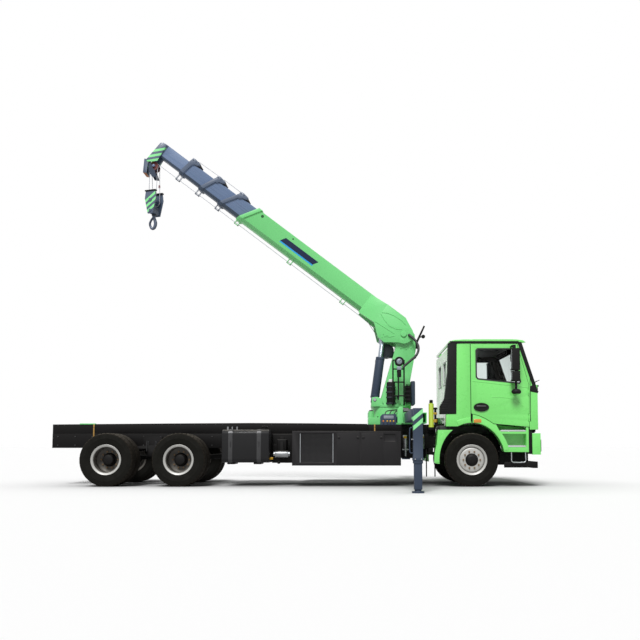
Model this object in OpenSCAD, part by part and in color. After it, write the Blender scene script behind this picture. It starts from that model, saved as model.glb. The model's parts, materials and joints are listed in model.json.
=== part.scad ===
// Truck-mounted telescopic crane on a three-axle chassis, in millimetres.
// +X forward, +Y to the left, +Z up, origin on the ground at the middle of the overall box.

/* [Wheels] */
// Outer diameter of every tyre
tyre_d = 1070; // [1040:2:1080]
// Section width of every tyre
tyre_w = 300; // [280:2:304]
// Middle of the front tyres from the centre line
front_tyre_y = 1060; // [1050:1:1066]
// Middle of the outer rear tyres from the centre line
rear_tyre_y = 1085; // [1075:1:1090]
// Distance between the middles of twin tyres
twin_gap = 340; // [325:1:345]
// Radius of the wheel nut circle
nut_circle_r = 167.5; // [160:0.5:172]
// Front axle ahead of the origin
front_axle_x = 3640; // [3630:1:3650]
// Middle of the rear axle pair behind the origin
bogie_x = -2955; // [-2980:1:-2930]
// Distance between the two rear axles
bogie_spread = 1450; // [1380:5:1480]

/* [Frame] */
// Rear end of the frame
frame_rear_x = -5070; // [-5100:5:-5040]
// Underside of the main rails
rail_z = 770; // [762:1:780]
// Height of the main rails
rail_h = 300; // [294:1:304]
// Outer width over the main rails
frame_w = 860; // [852:1:864]
// Height of the upper frame that carries the crane
sub_h = 194; // [186:1:200]

/* [Cab] */
// Width over the cab's sides
cab_w = 2460; // [2440:2:2470]
// Rear wall of the cab
cab_rear_x = 3205; // [3200:1:3225]
// Top of the roof
roof_z = 2960; // [2940:1:2980]
// Highest point of the wheel arches
arch_top = 740; // [725:1:745]
// Half length of the wheel arches
arch_rx = 655; // [650:1:662]
// Height of the waist line at the windscreen
belt_z = 2040; // [2030:1:2050]

/* [Crane] */
// Slewing axis ahead of the origin
slew_x = 2080; // [2074:1:2086]
// Boom hinge ahead of the slewing axis
pivot_dx = 260; // [254:1:266]
// Height of the boom hinge
pivot_z = 3195; // [3185:1:3210]
// Rest angle of the boom above the horizontal
boom_angle = 37.2; // [35.2:0.5:39.2]
// Width of the base boom
boom_w = 360; // [350:1:370]
// Height of the base boom
boom_h = 436; // [426:1:446]
// Distance from the boom hinge to the end of the base boom
base_len = 4480; // [4430:5:4530]
// Distance between the heads of the sections
head_step = 545; // [515:5:570]
// Outside diameter of the luffing cylinders
luff_d = 184; // [170:1:186]
// Rod diameter of the luffing cylinders
rod_d = 100; // [90:1:106]
// Radius of the sheaves in the boom head
sheave_r = 80; // [74:1:88]

/* [Outriggers] */
// Width of an outrigger beam
beam_w = 200; // [180:2:204]
// Height of an outrigger beam
beam_h = 186; // [170:2:190]
// Middle of the legs from the centre line
leg_y = 3180; // [3150:5:3220]
// Outer width of a leg's guide tube
guide_w = 164; // [156:1:172]
// Width of a leg
leg_w = 138; // [120:1:140]

/* [Hidden] */
$fn = 64;
wheel_z = tyre_d / 2;
mid_axle_x = bogie_x + bogie_spread / 2;
rear_axle_x = bogie_x - bogie_spread / 2;
rail_top = rail_z + rail_h;
deck_z = rail_top + sub_h;
rail_y = frame_w / 2;
cab_y = cab_w / 2;
kingpin_y = 865;
pivot_x = slew_x + pivot_dx;
turn_z = deck_z + 366;
column_z = turn_z + 190;
luff_pin_x = slew_x - 360;
luff_pin_z = column_z - 30;
luff_y = 245;
cheek_y = 345;
cheek_t = 30;
lug_u = 300;
lug_v = -332;
wall = 8;
boom_v = 95;
section_gap = 8;
head_u = 6650;
head_v = -300;
tilt_x = 4925;
tilt_z = 1120;
door_x = 4790;
rake = 18.5;
screen_x = 4992;
block_twist = -18;
beam_z = deck_z + 11;
right_beam_x = slew_x + 312;
left_beam_x = right_beam_x + beam_w + 24;
green = "#7be07b";
slate = "#46556a";
black = "#28282a";

// Points along a curve with one control point
function curve(a, b, c, n) = [for (i = [0:n]) let (t = i / n) (1-t)*(1-t)*a + 2*t*(1-t)*b + t*t*c];
// Points on the wheel arch ellipse between two angles, counted from +X
function arch(a0, a1, n, grow = 0) = [for (i = [0:n]) let (a = a0 + (a1 - a0) * i / n)
  [front_axle_x + (arch_rx + grow) * cos(a), wheel_z + (arch_top + grow) * sin(a)]];
// Points on a circle between two angles
function ring(x, y, r, a0, a1, n) = [for (i = [0:n]) let (a = a0 + (a1 - a0) * i / n)
  [x + r * cos(a), y + r * sin(a)]];
// Rounded box outline
function round_box(w, h, r, n = 5) = concat(ring(w/2-r, h/2-r, r, 0, 90, n), ring(r-w/2, h/2-r, r, 90,
    180, n),
  ring(r-w/2, r-h/2, r, 180, 270, n), ring(w/2-r, r-h/2, r, 270, 360, n));

// A side outline in X and Z, given thickness from y0 to y1
module side(pts, y0, y1) translate([0, y1, 0]) rotate([90, 0, 0]) linear_extrude(y1 - y0) polygon(pts);
// The same on both sides of the centre line
module both() { children(); mirror([0, 1, 0]) children(); }
module box(x0, x1, y0, y1, z0, z1) translate([x0, y0, z0]) cube([x1 - x0, y1 - y0, z1 - z0]);
// A cylinder along Y
module rod_y(x, z, r, y0, y1) translate([x, y1, z]) rotate([90, 0, 0]) cylinder(r = r, h = y1 - y0);
// A cylinder along X
module rod_x(y, z, r, x0, x1) translate([x0, y, z]) rotate([0, 90, 0]) cylinder(r = r, h = x1 - x0);
// Places boom parts: local X runs along the boom, local Z is its upper side
module on_boom() translate([pivot_x, 0, pivot_z]) rotate([0, boom_angle, 0]) rotate([0, 0, 180]) children();

// Frame
module frame_rails() color(black) both()
  translate([frame_rear_x, 0, rail_z]) rotate([90, 0, 90]) linear_extrude(4700 - frame_rear_x)
    polygon([[rail_y, 0], [rail_y, rail_h], [rail_y - 85, rail_h], [rail_y - 85, rail_h - 10],
      [rail_y - 10, rail_h - 10], [rail_y - 10, 10], [rail_y - 85, 10], [rail_y - 85, 0]]);

module crossmembers() color(black) {
  // Rear plate with the coupling's four holes
  difference() {
    box(frame_rear_x + 30, frame_rear_x + 50, -rail_y + 10, rail_y - 10, rail_z + 20, rail_top - 20);
    for (y = [-80, 80], z = [-50, 50])
      rod_x(y, rail_z + rail_h / 2 + z, 10.5, frame_rear_x, frame_rear_x + 90);
  }
  for (x = [bogie_x - 50, -1500, -300, 900, 2000])
    box(x, x + 100, -rail_y + 10, rail_y - 10, rail_top - 130, rail_top - 15);
  // Front member with the two plates that carry the cab's hinge pins
  box(4600, 4690, -rail_y + 10, rail_y - 10, rail_z + 20, rail_top - 20);
  both() {
    side([[4690, rail_z + 40], [4930, tilt_z - 60], [tilt_x + 24, tilt_z - 20], [tilt_x + 24, tilt_z + 10],
      [tilt_x - 30, tilt_z + 30], [4690, rail_top - 40]], 300, 330);
    rod_y(tilt_x, tilt_z, 18, 300, 400);
  }
}

module subframe() color(black) both() {
  box(frame_rear_x, slew_x - 505, rail_y - 85, rail_y - 5, rail_top, deck_z);
  box(slew_x - 500, 3000, rail_y - 85, rail_y - 5, rail_top, deck_z);
}

// Axles, springs and drive line
module front_axle() color(black) difference() {
  union() {
    box(front_axle_x - 50, front_axle_x + 50, -700, 700, wheel_z - 95, wheel_z + 15.7);
    both() {
      side([[front_axle_x - 40, wheel_z - 50], [front_axle_x + 40, wheel_z - 50],
        [front_axle_x + 40, wheel_z + 50], [front_axle_x - 40, wheel_z + 50]], 690, kingpin_y);
      translate([front_axle_x, kingpin_y, wheel_z - 60]) cylinder(r = 48, h = 120);
    }
  }
  both() translate([front_axle_x, kingpin_y, wheel_z - 80]) cylinder(r = 24, h = 160);
}

module rear_axles() color(black) {
  for (x = [mid_axle_x, rear_axle_x]) {
    rod_y(x, wheel_z, 62, -1035, 1035);
    rod_y(x, wheel_z, 80, -620, 620);
    translate([x, 0, wheel_z]) sphere(r = 215);
    rod_x(0, wheel_z + 40, 85, x, x + 340);
    both() box(x - 60, x + 60, 455, 545, wheel_z + 40, wheel_z + 90);
  }
  rod_x(0, wheel_z + 40, 50, rear_axle_x + 330, mid_axle_x);
  // Drive shaft up to the gearbox
  translate([mid_axle_x + 330, 0, wheel_z + 40]) rotate([0, 90 - shaft_rise, 0])
    cylinder(r = 55, h = shaft_dx / cos(shaft_rise));
  translate([2374.7, 0, 850]) sphere(r = 75);
}
shaft_dx = 2374.7 - mid_axle_x - 330;
shaft_rise = atan2(850 - wheel_z - 40, shaft_dx);

// One leaf pack bent over a chord, its middle at the origin, ends lifted by rise
module leaf_pack(len, rise, t, w) let (r = (len * len / 4 + rise * rise) / (2 * rise))
  intersection() {
    translate([0, w / 2, r]) rotate([90, 0, 0]) difference() {
      cylinder(r = r, h = w, $fn = 200);
      translate([0, 0, -1]) cylinder(r = r - t, h = w + 2, $fn = 200);
    }
    translate([-len / 2, -w, -1]) cube([len, 2 * w, rise + t]);
  }

module springs() color(black) both() {
  translate([front_axle_x, rail_y - 42, wheel_z + 16]) leaf_pack(1500, 90, 60, 84);
  for (x = [front_axle_x - 745, front_axle_x + 745])
    box(x - 50, x + 50, rail_y - 84, rail_y, wheel_z + 92, rail_z);
  // Rear packs ride on the axle pads and hang from the trunnion
  translate([bogie_x, 500, wheel_z + 289.3]) mirror([0, 0, 1]) leaf_pack(bogie_spread + 100, 130, 70, 86);
  rod_y(bogie_x, wheel_z + 120, 62, rail_y + 1, 560);
  box(bogie_x - 70, bogie_x + 70, 455, 545, wheel_z + 120, wheel_z + 221);
  side([[bogie_x - 210, rail_top - 60], [bogie_x - 120, wheel_z + 60], [bogie_x + 120, wheel_z + 60],
    [bogie_x + 210, rail_top - 60]], rail_y, rail_y + 22);
}

module powertrain() color("#3a3b3d") {
  box(3080, 4520, -320, 320, wheel_z + 275, 1245);
  side([[2450, 740], [3080, wheel_z + 275], [3080, 1080], [2450, 960]], -190, 190);
}

// Side equipment on the frame
module fuel_tank() color("#3c3d3f") {
  translate([-1366, -880, 808]) rotate([90, 0, 90]) linear_extrude(940) polygon(round_box(640, 660, 90));
  for (x = [-1180, -612]) box(x - 40, x + 40, -562, -rail_y, 700, 1000);
  translate([-540, -960, 1130]) cylinder(r = 55, h = 42);
}

module side_boxes() color(black) {
  difference() {
    side([[40, 420], [2220, 420], [2220, 1110], [40, 1110]], -1200, -560);
    box(184, 878, -1210, -1186, 480, 1060);
    box(1890, 2110, -1210, -1182, 905, 1050);
  }
  for (x = [200, 1100, 2000]) box(x, x + 80, -562, -rail_y, 720, 1000);
  side([[1300, 480], [2220, 480], [2220, 1090], [1300, 1090]], 600, 1180);
  side([[40, 440], [1180, 440], [1180, 1090], [40, 1090]], 600, 1200);
  side([[2290, 540], [2880, 540], [2880, 1090], [2290, 1090]], 600, 1150);
  for (x = [300, 800, 1500, 1950, 2520]) box(x, x + 80, rail_y, 602, 720, 1000);
}

module air_service() color("#9a9da1") {
  // Reservoirs, filters and bottles beside the frame
  rod_x(-900, 650, 70, -330, -60);
  box(-230, -160, -900, -rail_y, 700, 900);
  translate([2340, -620, 760]) cylinder(r = 48, h = 230);
  box(2300, 2380, -640, -rail_y, 980, 1040);
  translate([2690, -620, 760]) cylinder(r = 52, h = 240);
  box(2650, 2730, -640, -rail_y, 990, 1050);
  for (y = [640, 950]) rod_x(y, 660, 130, -1300, -200);
  for (x = [-1150, -400]) box(x, x + 60, rail_y, 960, 770, 900);
  translate([2900, -500, deck_z - 60]) cylinder(r = 54, h = 496);
  translate([2900, -500, deck_z]) cylinder(r = 32, h = 471);
  box(2830, 2960, -560, -rail_y + 5, deck_z - 120, deck_z - 59);
}

module bumper() color(green) {
  difference() {
    translate([0, 0, 640]) linear_extrude(426) polygon(concat(
      [for (i = [-10:10]) [5070 - 60 * pow(abs(i) / 10, 6), cab_y * i / 10]], [[4846, cab_y], [4846,
          -cab_y]]));
    box(4800, 5010, -cab_y + 60, cab_y - 60, 600, 1040);
    box(4800, 4975, -450, 450, 1000, 1120);
    // Lower grille opening between the lamps
    box(4900, 5100, -560, 560, 720, 900);
  }
  both() box(4700, 5012, 350, 420, 800, 900);
}

module underrun_bar() color(black) {
  box(4870, 4965, -1150, 1150, 370, 500);
  both() box(4300, 4880, 1080, 1150, 380, 490);
  both() box(4880, 4940, 380, 420, 490, 799.7);
}

// Wings and step units on the chassis
module wings_and_steps() color(green) both() {
  difference() {
    side(concat([[4772, 690], [4772, 1182], [4076, 1246]], curve([4076, 1246], [3850, 1410], [3660,
        1442], 5),
      arch(88.5, 12.5, 14)), cab_y - 270, cab_y);
    // Two step recesses, the upper one open at the top
    side([[4225, 1055], [4320, 800], [4725, 800], [4725, 1055]], cab_y - 230, cab_y + 10);
    side([[4110, 1270], [4190, 1112], [4725, 1112], [4725, 1270]], cab_y - 230, cab_y + 10);
  }
  side(concat(arch(126, 186, 8), [[2905, 464], [2925, 760], [2962, 1132]]), cab_y - 290, cab_y);
  box(4500, 4560, rail_y, cab_y - 268, 900, 1000);
  box(2960, 3010, rail_y, cab_y - 288, 700, 780);
}

// Crane base with the outrigger housing
module crane_base() color(green) difference() {
  union() {
    box(slew_x - 500, slew_x + 640, -rail_y, rail_y, deck_z, deck_z + 150);
    box(right_beam_x - beam_w/2 - 20, left_beam_x + beam_w/2 + 20, -1250, 1250, deck_z,
        deck_z + beam_h + 30);
    translate([slew_x, 0, deck_z + 100]) cylinder(r = 430, h = 266);
    both() translate([slew_x - 440, rail_y - 60, deck_z]) cylinder(r = 60, h = 280);
  }
  for (x = [left_beam_x, right_beam_x])
    box(x - beam_w/2 - 6, x + beam_w/2 + 6, -1300, 1300, beam_z - 0.3, beam_z + beam_h + 6);
}

module crane_controls() color("#2c3440") both() {
  side([[slew_x - 270, 1230], [slew_x + 50, 1230], [slew_x + 50, 1450], [slew_x - 230, 1450],
      [slew_x - 270, 1410]], 1010, 1230);
  box(slew_x + 40, right_beam_x - beam_w/2 - 20.3, 1040, 1120, 1280, 1400);
}

// Cab
module cab_front_curve(x, drop, power, inset) polygon(concat([for (i = [-12:12])
  [x - drop * pow(abs(i) / 12, power), (cab_y - inset) * i / 12]], [[2500, cab_y - inset], [2500,
      inset - cab_y]]));
module at_screen() translate([screen_x, 0, belt_z]) rotate([0, -rake, 0]) children();
module raked(inset) at_screen() translate([-screen_x, 0, -900]) linear_extrude(2200)
  cab_front_curve(screen_x - inset, 70, 3, inset);
module screen_cut(g) at_screen() box(-420, 300, -cab_y + 75 + g, cab_y - 75 - g, 10 + g, 830 - g);
module upper_cab(inset) intersection() {
  raked(inset);
  side([[cab_rear_x + inset, 1300], [cab_rear_x + inset, roof_z - 60], [cab_rear_x + inset + 40,
      roof_z - inset - 10],
    [cab_rear_x + inset + 90, roof_z - inset], [4480, roof_z - inset], [4640, roof_z - inset - 25],
    [4760, roof_z - inset - 90], [5100, belt_z], [5100, 1300]], -cab_y + inset, cab_y - inset);
}
function door_outline(g) = concat([[3630 - g, 2864 + g], [3630 - g, 1465 - g]],
  curve([3660, 1452 - g], [3850, 1424 - g], [4076, 1260 - g], 5),
  [[door_x + g, 1194 - g], [door_x + g, belt_z], [4560 + g, 2864 + g]]);

module cab_floor() color(green) {
  box(cab_rear_x, 4795.7, -930, 930, 1300, 1345);
  box(4110, 4795.7, -cab_y + 70, cab_y - 70, 1300, 1345);
  // Hinge lugs under the front of the floor
  both() difference() {
    union() {
      side([[tilt_x - 30, tilt_z], [tilt_x + 22, tilt_z + 20], [4790, 1301], [4690, 1301]], 345, 375);
      rod_y(tilt_x, tilt_z, 30, 345, 375);
    }
    rod_y(tilt_x, tilt_z, 18.3, 340, 380);
  }
}

module cab_body() color(green) {
  // Rear wall, pillars and sides, with the doorways and windows cut
  difference() {
    intersection() {
      upper_cab(0);
      box(cab_rear_x, 5100, -cab_y, cab_y, 1345, roof_z - 66);
    }
    intersection() {
      upper_cab(60);
      box(cab_rear_x, 5100, -cab_y, cab_y, 1300, roof_z + 100);
    }
    both() side(door_outline(6), cab_y - 65, cab_y + 50);
    // Windscreen and rear windows
    screen_cut(0);
    for (y = [-700, 200]) box(cab_rear_x - 50, cab_rear_x + 100, y, y + 500, 2120, 2560);
    // Nose below the waist is a separate piece
    box(4795, 5200, -cab_y - 170, cab_y + 170, 1200, belt_z - 2);
    both() box(3624, 4800, cab_y - 65, cab_y + 50, 1300, 1470);
  }
  // Rear part of the wings
  both() side(concat(arch(91, 115, 5), [[3125, 1205], [3125, 1432], [3150, 1450], [3622, 1450]]),
      cab_y - 290, cab_y);
  // Wheel boxes inside the cab
  both() {
    box(cab_rear_x, 4080, 930.3, cab_y - 70, 1450, 1480);
    box(cab_rear_x, 4080, 930.3, 950, 1346, 1460);
  }
}

module cab_roof() color(green) intersection() {
  upper_cab(0);
  box(cab_rear_x, 5100, -cab_y, cab_y, roof_z - 66, roof_z + 10);
}

module cab_front() color(green) {
  difference() {
    translate([0, 0, 1140]) linear_extrude(belt_z - 1142) cab_front_curve(5022, 60, 8, 0);
    translate([0, 0, 1100]) linear_extrude(belt_z - 1000) cab_front_curve(4992, 60, 8, 30);
    box(2000, 4796, -cab_y - 170, cab_y + 170, 1000, 2200);
    screen_cut(0);
    side([[4985, 1139], [5040, 1139], [5040, 1194]], -cab_y - 10, cab_y + 10);
    for (z = hinge_z) both() translate([door_x, cab_y, z]) cylinder(r = 22, h = 90);
  }
  difference() {
    box(4796, 4840, -cab_y + 25, cab_y - 25, 1300, belt_z - 2);
    screen_cut(0);
  }
  // Door hinge pins with their end blocks
  for (z = hinge_z) both() translate([door_x, cab_y, z]) {
    translate([0, 0, -28]) cylinder(r = 9, h = 146);
    for (h = [-30, 90]) translate([0, 0, h]) cylinder(r = 14, h = 30);
  }
}
hinge_z = [1330, 1850];

module cab_glass() color("#223038") {
  intersection() {
    difference() { raked(18); raked(30); }
    screen_cut(0.3);
  }
  for (y = [-699.7, 200.3]) box(cab_rear_x + 20, cab_rear_x + 30, y, y + 499.4, 2120.3, 2559.7);
}

module cab_interior() color("#2a2b2e") {
  both() {
    box(3620, 4080, 300, 800, 1345, 1700);
    side([[3560, 1700], [4080, 1700], [4080, 1790], [3740, 1790], [3600, 2420], [3480, 2420]], 300, 800);
  }
  side([[4480, 1345], [4795.7, 1345], [4795.7, 1970], [4560, 1990], [4480, 1890]], 100 - cab_y,
      cab_y - 100);
  translate([4400, 550, 1990]) rotate([0, -28, 0]) rotate_extrude() translate([215, 0]) circle(r = 16,
      $fn = 24);
  translate([4400, 550, 1990]) rotate([0, -28, 0]) {
    box(-215, 215, -18, 18, -10, 10);
    translate([0, 0, -200]) cylinder(r = 26, h = 200);
  }
}

// Air intake cover around the cab's right rear corner
module intake_duct() color(black) {
  side([[3185, 2890], [3170, 2300], [3100, 1750], [3010, 1600], [3010, 1451], [3330, 1451], [3350, 2890]],
    -cab_y - 12, -cab_y);
  side([[3185, 2890], [3170, 2300], [3100, 1750], [3010, 1600], [3010, 1451], [cab_rear_x, 1451],
      [cab_rear_x, 2890]],
    -cab_y - 12, -cab_y + 190);
}

// Doors, with the outer skin on the door's hinge line
module door(s) color(green) scale([1, s, 1]) difference() {
  union() {
    difference() {
      side(door_outline(0), cab_y - 62, cab_y);
      side(window(0), cab_y - 80, cab_y + 10);
      for (z = hinge_z) translate([door_x, cab_y, z - 36]) cylinder(r = 19, h = 162);
    }
    for (z = hinge_z) translate([door_x, cab_y, z + 3]) cylinder(r = 19.5, h = 84);
  }
  for (z = hinge_z) translate([door_x, cab_y, z - 40]) cylinder(r = 9.3, h = 170);
}
function window(g) = [[3724 + g, 2740 - g], [3724 + g, 2190 + g], [3764, 2144 + g], [4610 - g, 2056 + g],
  [4640 - g, 2100], [4474 - g, 2780 - g], [3764, 2780 - g]];
module door_glass(s) color("#223038") scale([1, s, 1]) side(window(0.3), cab_y - 40, cab_y - 30);
module mirror_set(s) color(black) scale([1, s, 1]) {
  for (z = [[2315, 2750], [2097, 2295]]) box(4410, 4567, cab_y + 90, cab_y + 250, z[0], z[1]);
  rod_y(4440, 2806, 18, cab_y + 0.3, cab_y + 170);
  box(4440, 4500, cab_y + 140, cab_y + 190, 2740, 2824);
  box(4480, 4516, cab_y + 140, cab_y + 190, 1870, 2320);
  rod_y(4500, 1886, 30, cab_y + 0.3, cab_y + 175);
}

// Wheels are turned about Y; local +axis points outwards
module turned(pts) rotate([90, 0, 0]) rotate_extrude($fn = 96) polygon(pts);
function tyre_half() = concat([[288, 106]], curve([302, 110], [402, tyre_w * 0.56], [tyre_d/2 - 24,
    tyre_w * 0.43], 6),
  curve([tyre_d/2 - 20, tyre_w * 0.42], [tyre_d/2, tyre_w * 0.39], [tyre_d/2, tyre_w * 0.31], 3));
module tyre() color("#1d1d1d") turned(concat(tyre_half(), [for (p = [len(tyre_half())-1:-1:0])
    [tyre_half()[p][0], -tyre_half()[p][1]]]));
// Rim barrel between two flanges
barrel_out = [[300, 122], [300, 112], [287, 108], [287, 80], [268, 60], [268, -60], [287, -80], [287, -108],
  [300, -112], [300, -122]];
barrel_in = [[276, -122], [255, -60], [255, 60], [276, 122]];
module nuts(a, out) for (i = [0:9]) rotate([0, i * 36, 0]) translate([nut_circle_r, -out, 0])
  rotate([90, 0, 0]) cylinder(r = 16, h = a, $fn = 6);
module rim_front() color("#b9bcc0") {
  turned(concat(barrel_out, barrel_in));
  difference() {
    union() {
      turned([[0, 135], [115, 135], [136, 125], [136, 95], [215, 88], [258, 60], [258, 40], [205, 68],
          [136, 70],
        [115, 60], [115, -70], [0, -70]]);
      nuts(30, 85);
    }
    rotate([90, 0, 0]) translate([0, 0, -80]) cylinder(r = 45.3, h = 160);
    for (i = [0:9]) rotate([0, i * 36 + 18, 0]) translate([228, -140, 0]) rotate([-90, 0, 0])
        cylinder(r = 22, h = 160);
  }
}
module rim_twin() color("#b9bcc0") {
  translate([0, -twin_gap / 2, 0]) turned(concat(barrel_out, barrel_in));
  translate([0, twin_gap / 2, 0]) turned(concat(barrel_out, barrel_in));
  difference() {
    union() {
      turned([[0, 180], [105, 180], [136, 165], [136, 22], [205, 22], [264, twin_gap/2 - 62], [264,
          twin_gap/2 - 88],
        [216, 0], [264, 88 - twin_gap/2], [264, 62 - twin_gap/2], [205, -22], [136, -22], [136, -190],
            [0, -190]]);
      nuts(40, 20);
    }
    rotate([90, 0, 0]) translate([0, 0, -200]) cylinder(r = 62.3, h = 320);
  }
}
module at_front(s) translate([front_axle_x, s * front_tyre_y, wheel_z]) scale([1, -s, 1]) children();
module at_rear(x, s) translate([x, s * (rear_tyre_y - twin_gap / 2), wheel_z]) scale([1, -s, 1]) children();
module tyre_pair() { translate([0, -twin_gap / 2, 0]) tyre(); translate([0, twin_gap / 2, 0]) tyre(); }

module knuckle(s) color(black) scale([1, s, 1]) {
  translate([front_axle_x, kingpin_y, wheel_z - 98]) cylinder(r = 23.7, h = 196);
  for (z = [-98, 66]) box(front_axle_x - 45, front_axle_x + 45, kingpin_y - 35, kingpin_y + 90,
      wheel_z + z, wheel_z + z + 32);
  box(front_axle_x - 45, front_axle_x + 45, kingpin_y + 60, kingpin_y + 90, wheel_z - 98, wheel_z + 98);
  rod_y(front_axle_x, wheel_z, 45, kingpin_y + 62, front_tyre_y + 70);
}

// Outriggers: the guide tube of each leg is part of its beam
module outrigger_beam(s, x) color(slate) scale([1, s, 1]) difference() {
  union() {
    box(x - beam_w/2, x + beam_w/2, 750, leg_y - guide_w/2 + 1, beam_z, beam_z + beam_h);
    box(x - guide_w/2, x + guide_w/2, leg_y - guide_w/2, leg_y + guide_w/2, 510, beam_z + beam_h + 6);
    box(x - guide_w/2 - 10, x + guide_w/2 + 10, leg_y - guide_w/2 - 10, leg_y + guide_w/2 + 10, 560, 610);
  }
  box(x - leg_w/2 - 6, x + leg_w/2 + 6, leg_y - leg_w/2 - 6, leg_y + leg_w/2 + 6, 612, beam_z + beam_h - 6);
  box(x - leg_w/2 - 0.3, x + leg_w/2 + 0.3, leg_y - leg_w/2 - 0.3, leg_y + leg_w/2 + 0.3, 400, 700);
}
module outrigger_leg(s, x, z) color(slate) scale([1, s, 1]) translate([0, 0, z]) {
  box(x - leg_w/2, x + leg_w/2, leg_y - leg_w/2, leg_y + leg_w/2, 60, 972);
  translate([x, leg_y, 0]) cylinder(r = 108, h = 30);
  translate([x, leg_y, 25]) cylinder(r = 60, h = 45);
}

// Turning part of the crane
module column() color(green) {
  translate([slew_x, 0, turn_z + 0.3]) cylinder(r = 440, h = 60);
  translate([slew_x, 0, turn_z + 55]) cylinder(r = 310, h = 136);
  side([[slew_x - 230, turn_z + 40], [slew_x + 400, turn_z + 40], [slew_x + 400, column_z + 400],
    [pivot_x + 262, pivot_z - 330], [pivot_x + 240, pivot_z], [pivot_x + 150, pivot_z + 130],
    [pivot_x, pivot_z + 190], [pivot_x - 130, pivot_z + 140], [pivot_x - 190, pivot_z],
    [pivot_x - 170, pivot_z - 275], [slew_x - 230, column_z - 5]], -290, 290);
  rod_y(pivot_x, pivot_z, 130, -342, 342);
  rod_y(pivot_x, pivot_z, 60, -cheek_y - cheek_t - 12, cheek_y + cheek_t + 12);
  // Lower bearing blocks of the luffing cylinders
  for (y = [-368, -138, 118, 342]) side([[luff_pin_x - 70, turn_z + 20], [luff_pin_x + 160, turn_z + 20],
    [luff_pin_x + 160, column_z - 20], [luff_pin_x + 60, luff_pin_z + 62], [luff_pin_x - 60,
        luff_pin_z + 50]], y, y + 22);
  rod_y(luff_pin_x, luff_pin_z, 35, -368, 368);
}

module column_fittings() color("#30353d") {
  // Ladder on the right, with a dial on a post at its top
  for (x = [slew_x + 10, slew_x + 240]) translate([x, -700, turn_z + 20]) cylinder(r = 16, h = 950);
  for (z = [turn_z + 221, turn_z + 507, turn_z + 780, turn_z + 968]) rod_x(-700, z, 14, slew_x + 10,
      slew_x + 240);
  for (z = [turn_z + 221, turn_z + 780]) rod_y(slew_x + 125, z, 16, -712, -290);
  rod_y(slew_x + 140, turn_z + 935, 95, -760, -700);
  // Slewing drive and valve block on the turntable
  translate([slew_x - 20, -405, turn_z + 60.3]) cylinder(r = 90, h = 470);
  box(slew_x - 80, slew_x + 40, -420, -290, turn_z + 300, turn_z + 400);
  // Oil cooler on the front side, with its fan housing
  box(slew_x + 425, slew_x + 497, -270, 270, turn_z + 61, turn_z + 565);
  rod_x(0, turn_z + 300, 200, slew_x + 400, slew_x + 430);
}

// Rear face of the column at a height
function column_face(z) = slew_x - 230 + (z - column_z + 5) * (pivot_dx + 60) / (pivot_z - 270 - column_z);
module winch() color("#3a4048") {
  rod_y(slew_x - 85, pivot_z - 330, 120, -120, 120);
  for (y = [-140, 116]) rod_y(slew_x - 85, pivot_z - 330, 145, y, y + 24);
  side([[slew_x - 85, pivot_z - 470], [column_face(pivot_z - 470) - 0.3, pivot_z - 470],
    [column_face(pivot_z - 350) - 0.3, pivot_z - 350], [slew_x - 85, pivot_z - 350]], -100, 100);
}

// Luffing cylinders
luff_dx = pivot_x - lug_u * cos(boom_angle) + lug_v * sin(boom_angle) - luff_pin_x;
luff_dz = pivot_z + lug_u * sin(boom_angle) + lug_v * cos(boom_angle) - luff_pin_z;
luff_len = sqrt(luff_dx * luff_dx + luff_dz * luff_dz);
luff_lean = atan2(luff_dx, luff_dz);
module on_luff(s) translate([luff_pin_x, s * luff_y, luff_pin_z]) rotate([0, luff_lean, 0]) children();
module luff_barrels() color(slate) for (s = [-1, 1]) on_luff(s) difference() {
  union() {
    translate([0, 0, 75]) cylinder(d = luff_d, h = 845);
    rotate([90, 0, 0]) translate([0, 0, -90]) cylinder(r = 75, h = 180);
    translate([0, 0, 10]) cylinder(r = 74, h = 80);
  }
  rotate([90, 0, 0]) translate([0, 0, -100]) cylinder(r = 35.3, h = 200);
  translate([0, 0, 150]) cylinder(d = rod_d + 0.6, h = 900);
}
module luff_rods() color("#c8ccd0") for (s = [-1, 1]) on_luff(s) {
  translate([0, 0, luff_len - 900]) cylinder(d = rod_d, h = 900 - 60);
  translate([0, 0, luff_len]) rotate([90, 0, 0]) translate([0, 0, -48]) cylinder(r = 78, h = 96);
}

// Boom sections share one outline, smaller by the same step each time
function outline(g) = [[-boom_w/2 + g, boom_v + boom_h/2 - 20 - g], [-boom_w/2 + 20 + g,
    boom_v + boom_h/2 - g],
  [boom_w/2 - 20 - g, boom_v + boom_h/2 - g], [boom_w/2 - g, boom_v + boom_h/2 - 20 - g],
  [boom_w/2 - g, boom_v - boom_h/2 + 70 + g * 0.6], [boom_w/2 - 70 - g * 0.4, boom_v - boom_h/2 + g],
  [-boom_w/2 + 70 + g * 0.4, boom_v - boom_h/2 + g], [-boom_w/2 + g, boom_v - boom_h/2 + 70 + g * 0.6]];
module along(u0, u1) translate([u0, 0, 0]) rotate([90, 0, 90]) linear_extrude(u1 - u0) children();
module tube(u0, u1, g) difference() {
  along(u0, u1) polygon(outline(g));
  along(u0 - 1, u1 + 1) polygon(outline(g + wall));
}
low_v = boom_v - boom_h/2 - 30;
high_v = boom_v + boom_h/2 + 30;
// How far the head of a section leans back from its lower to its upper edge
function lean_u(lean) = (high_v - low_v) * tan(lean);
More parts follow.
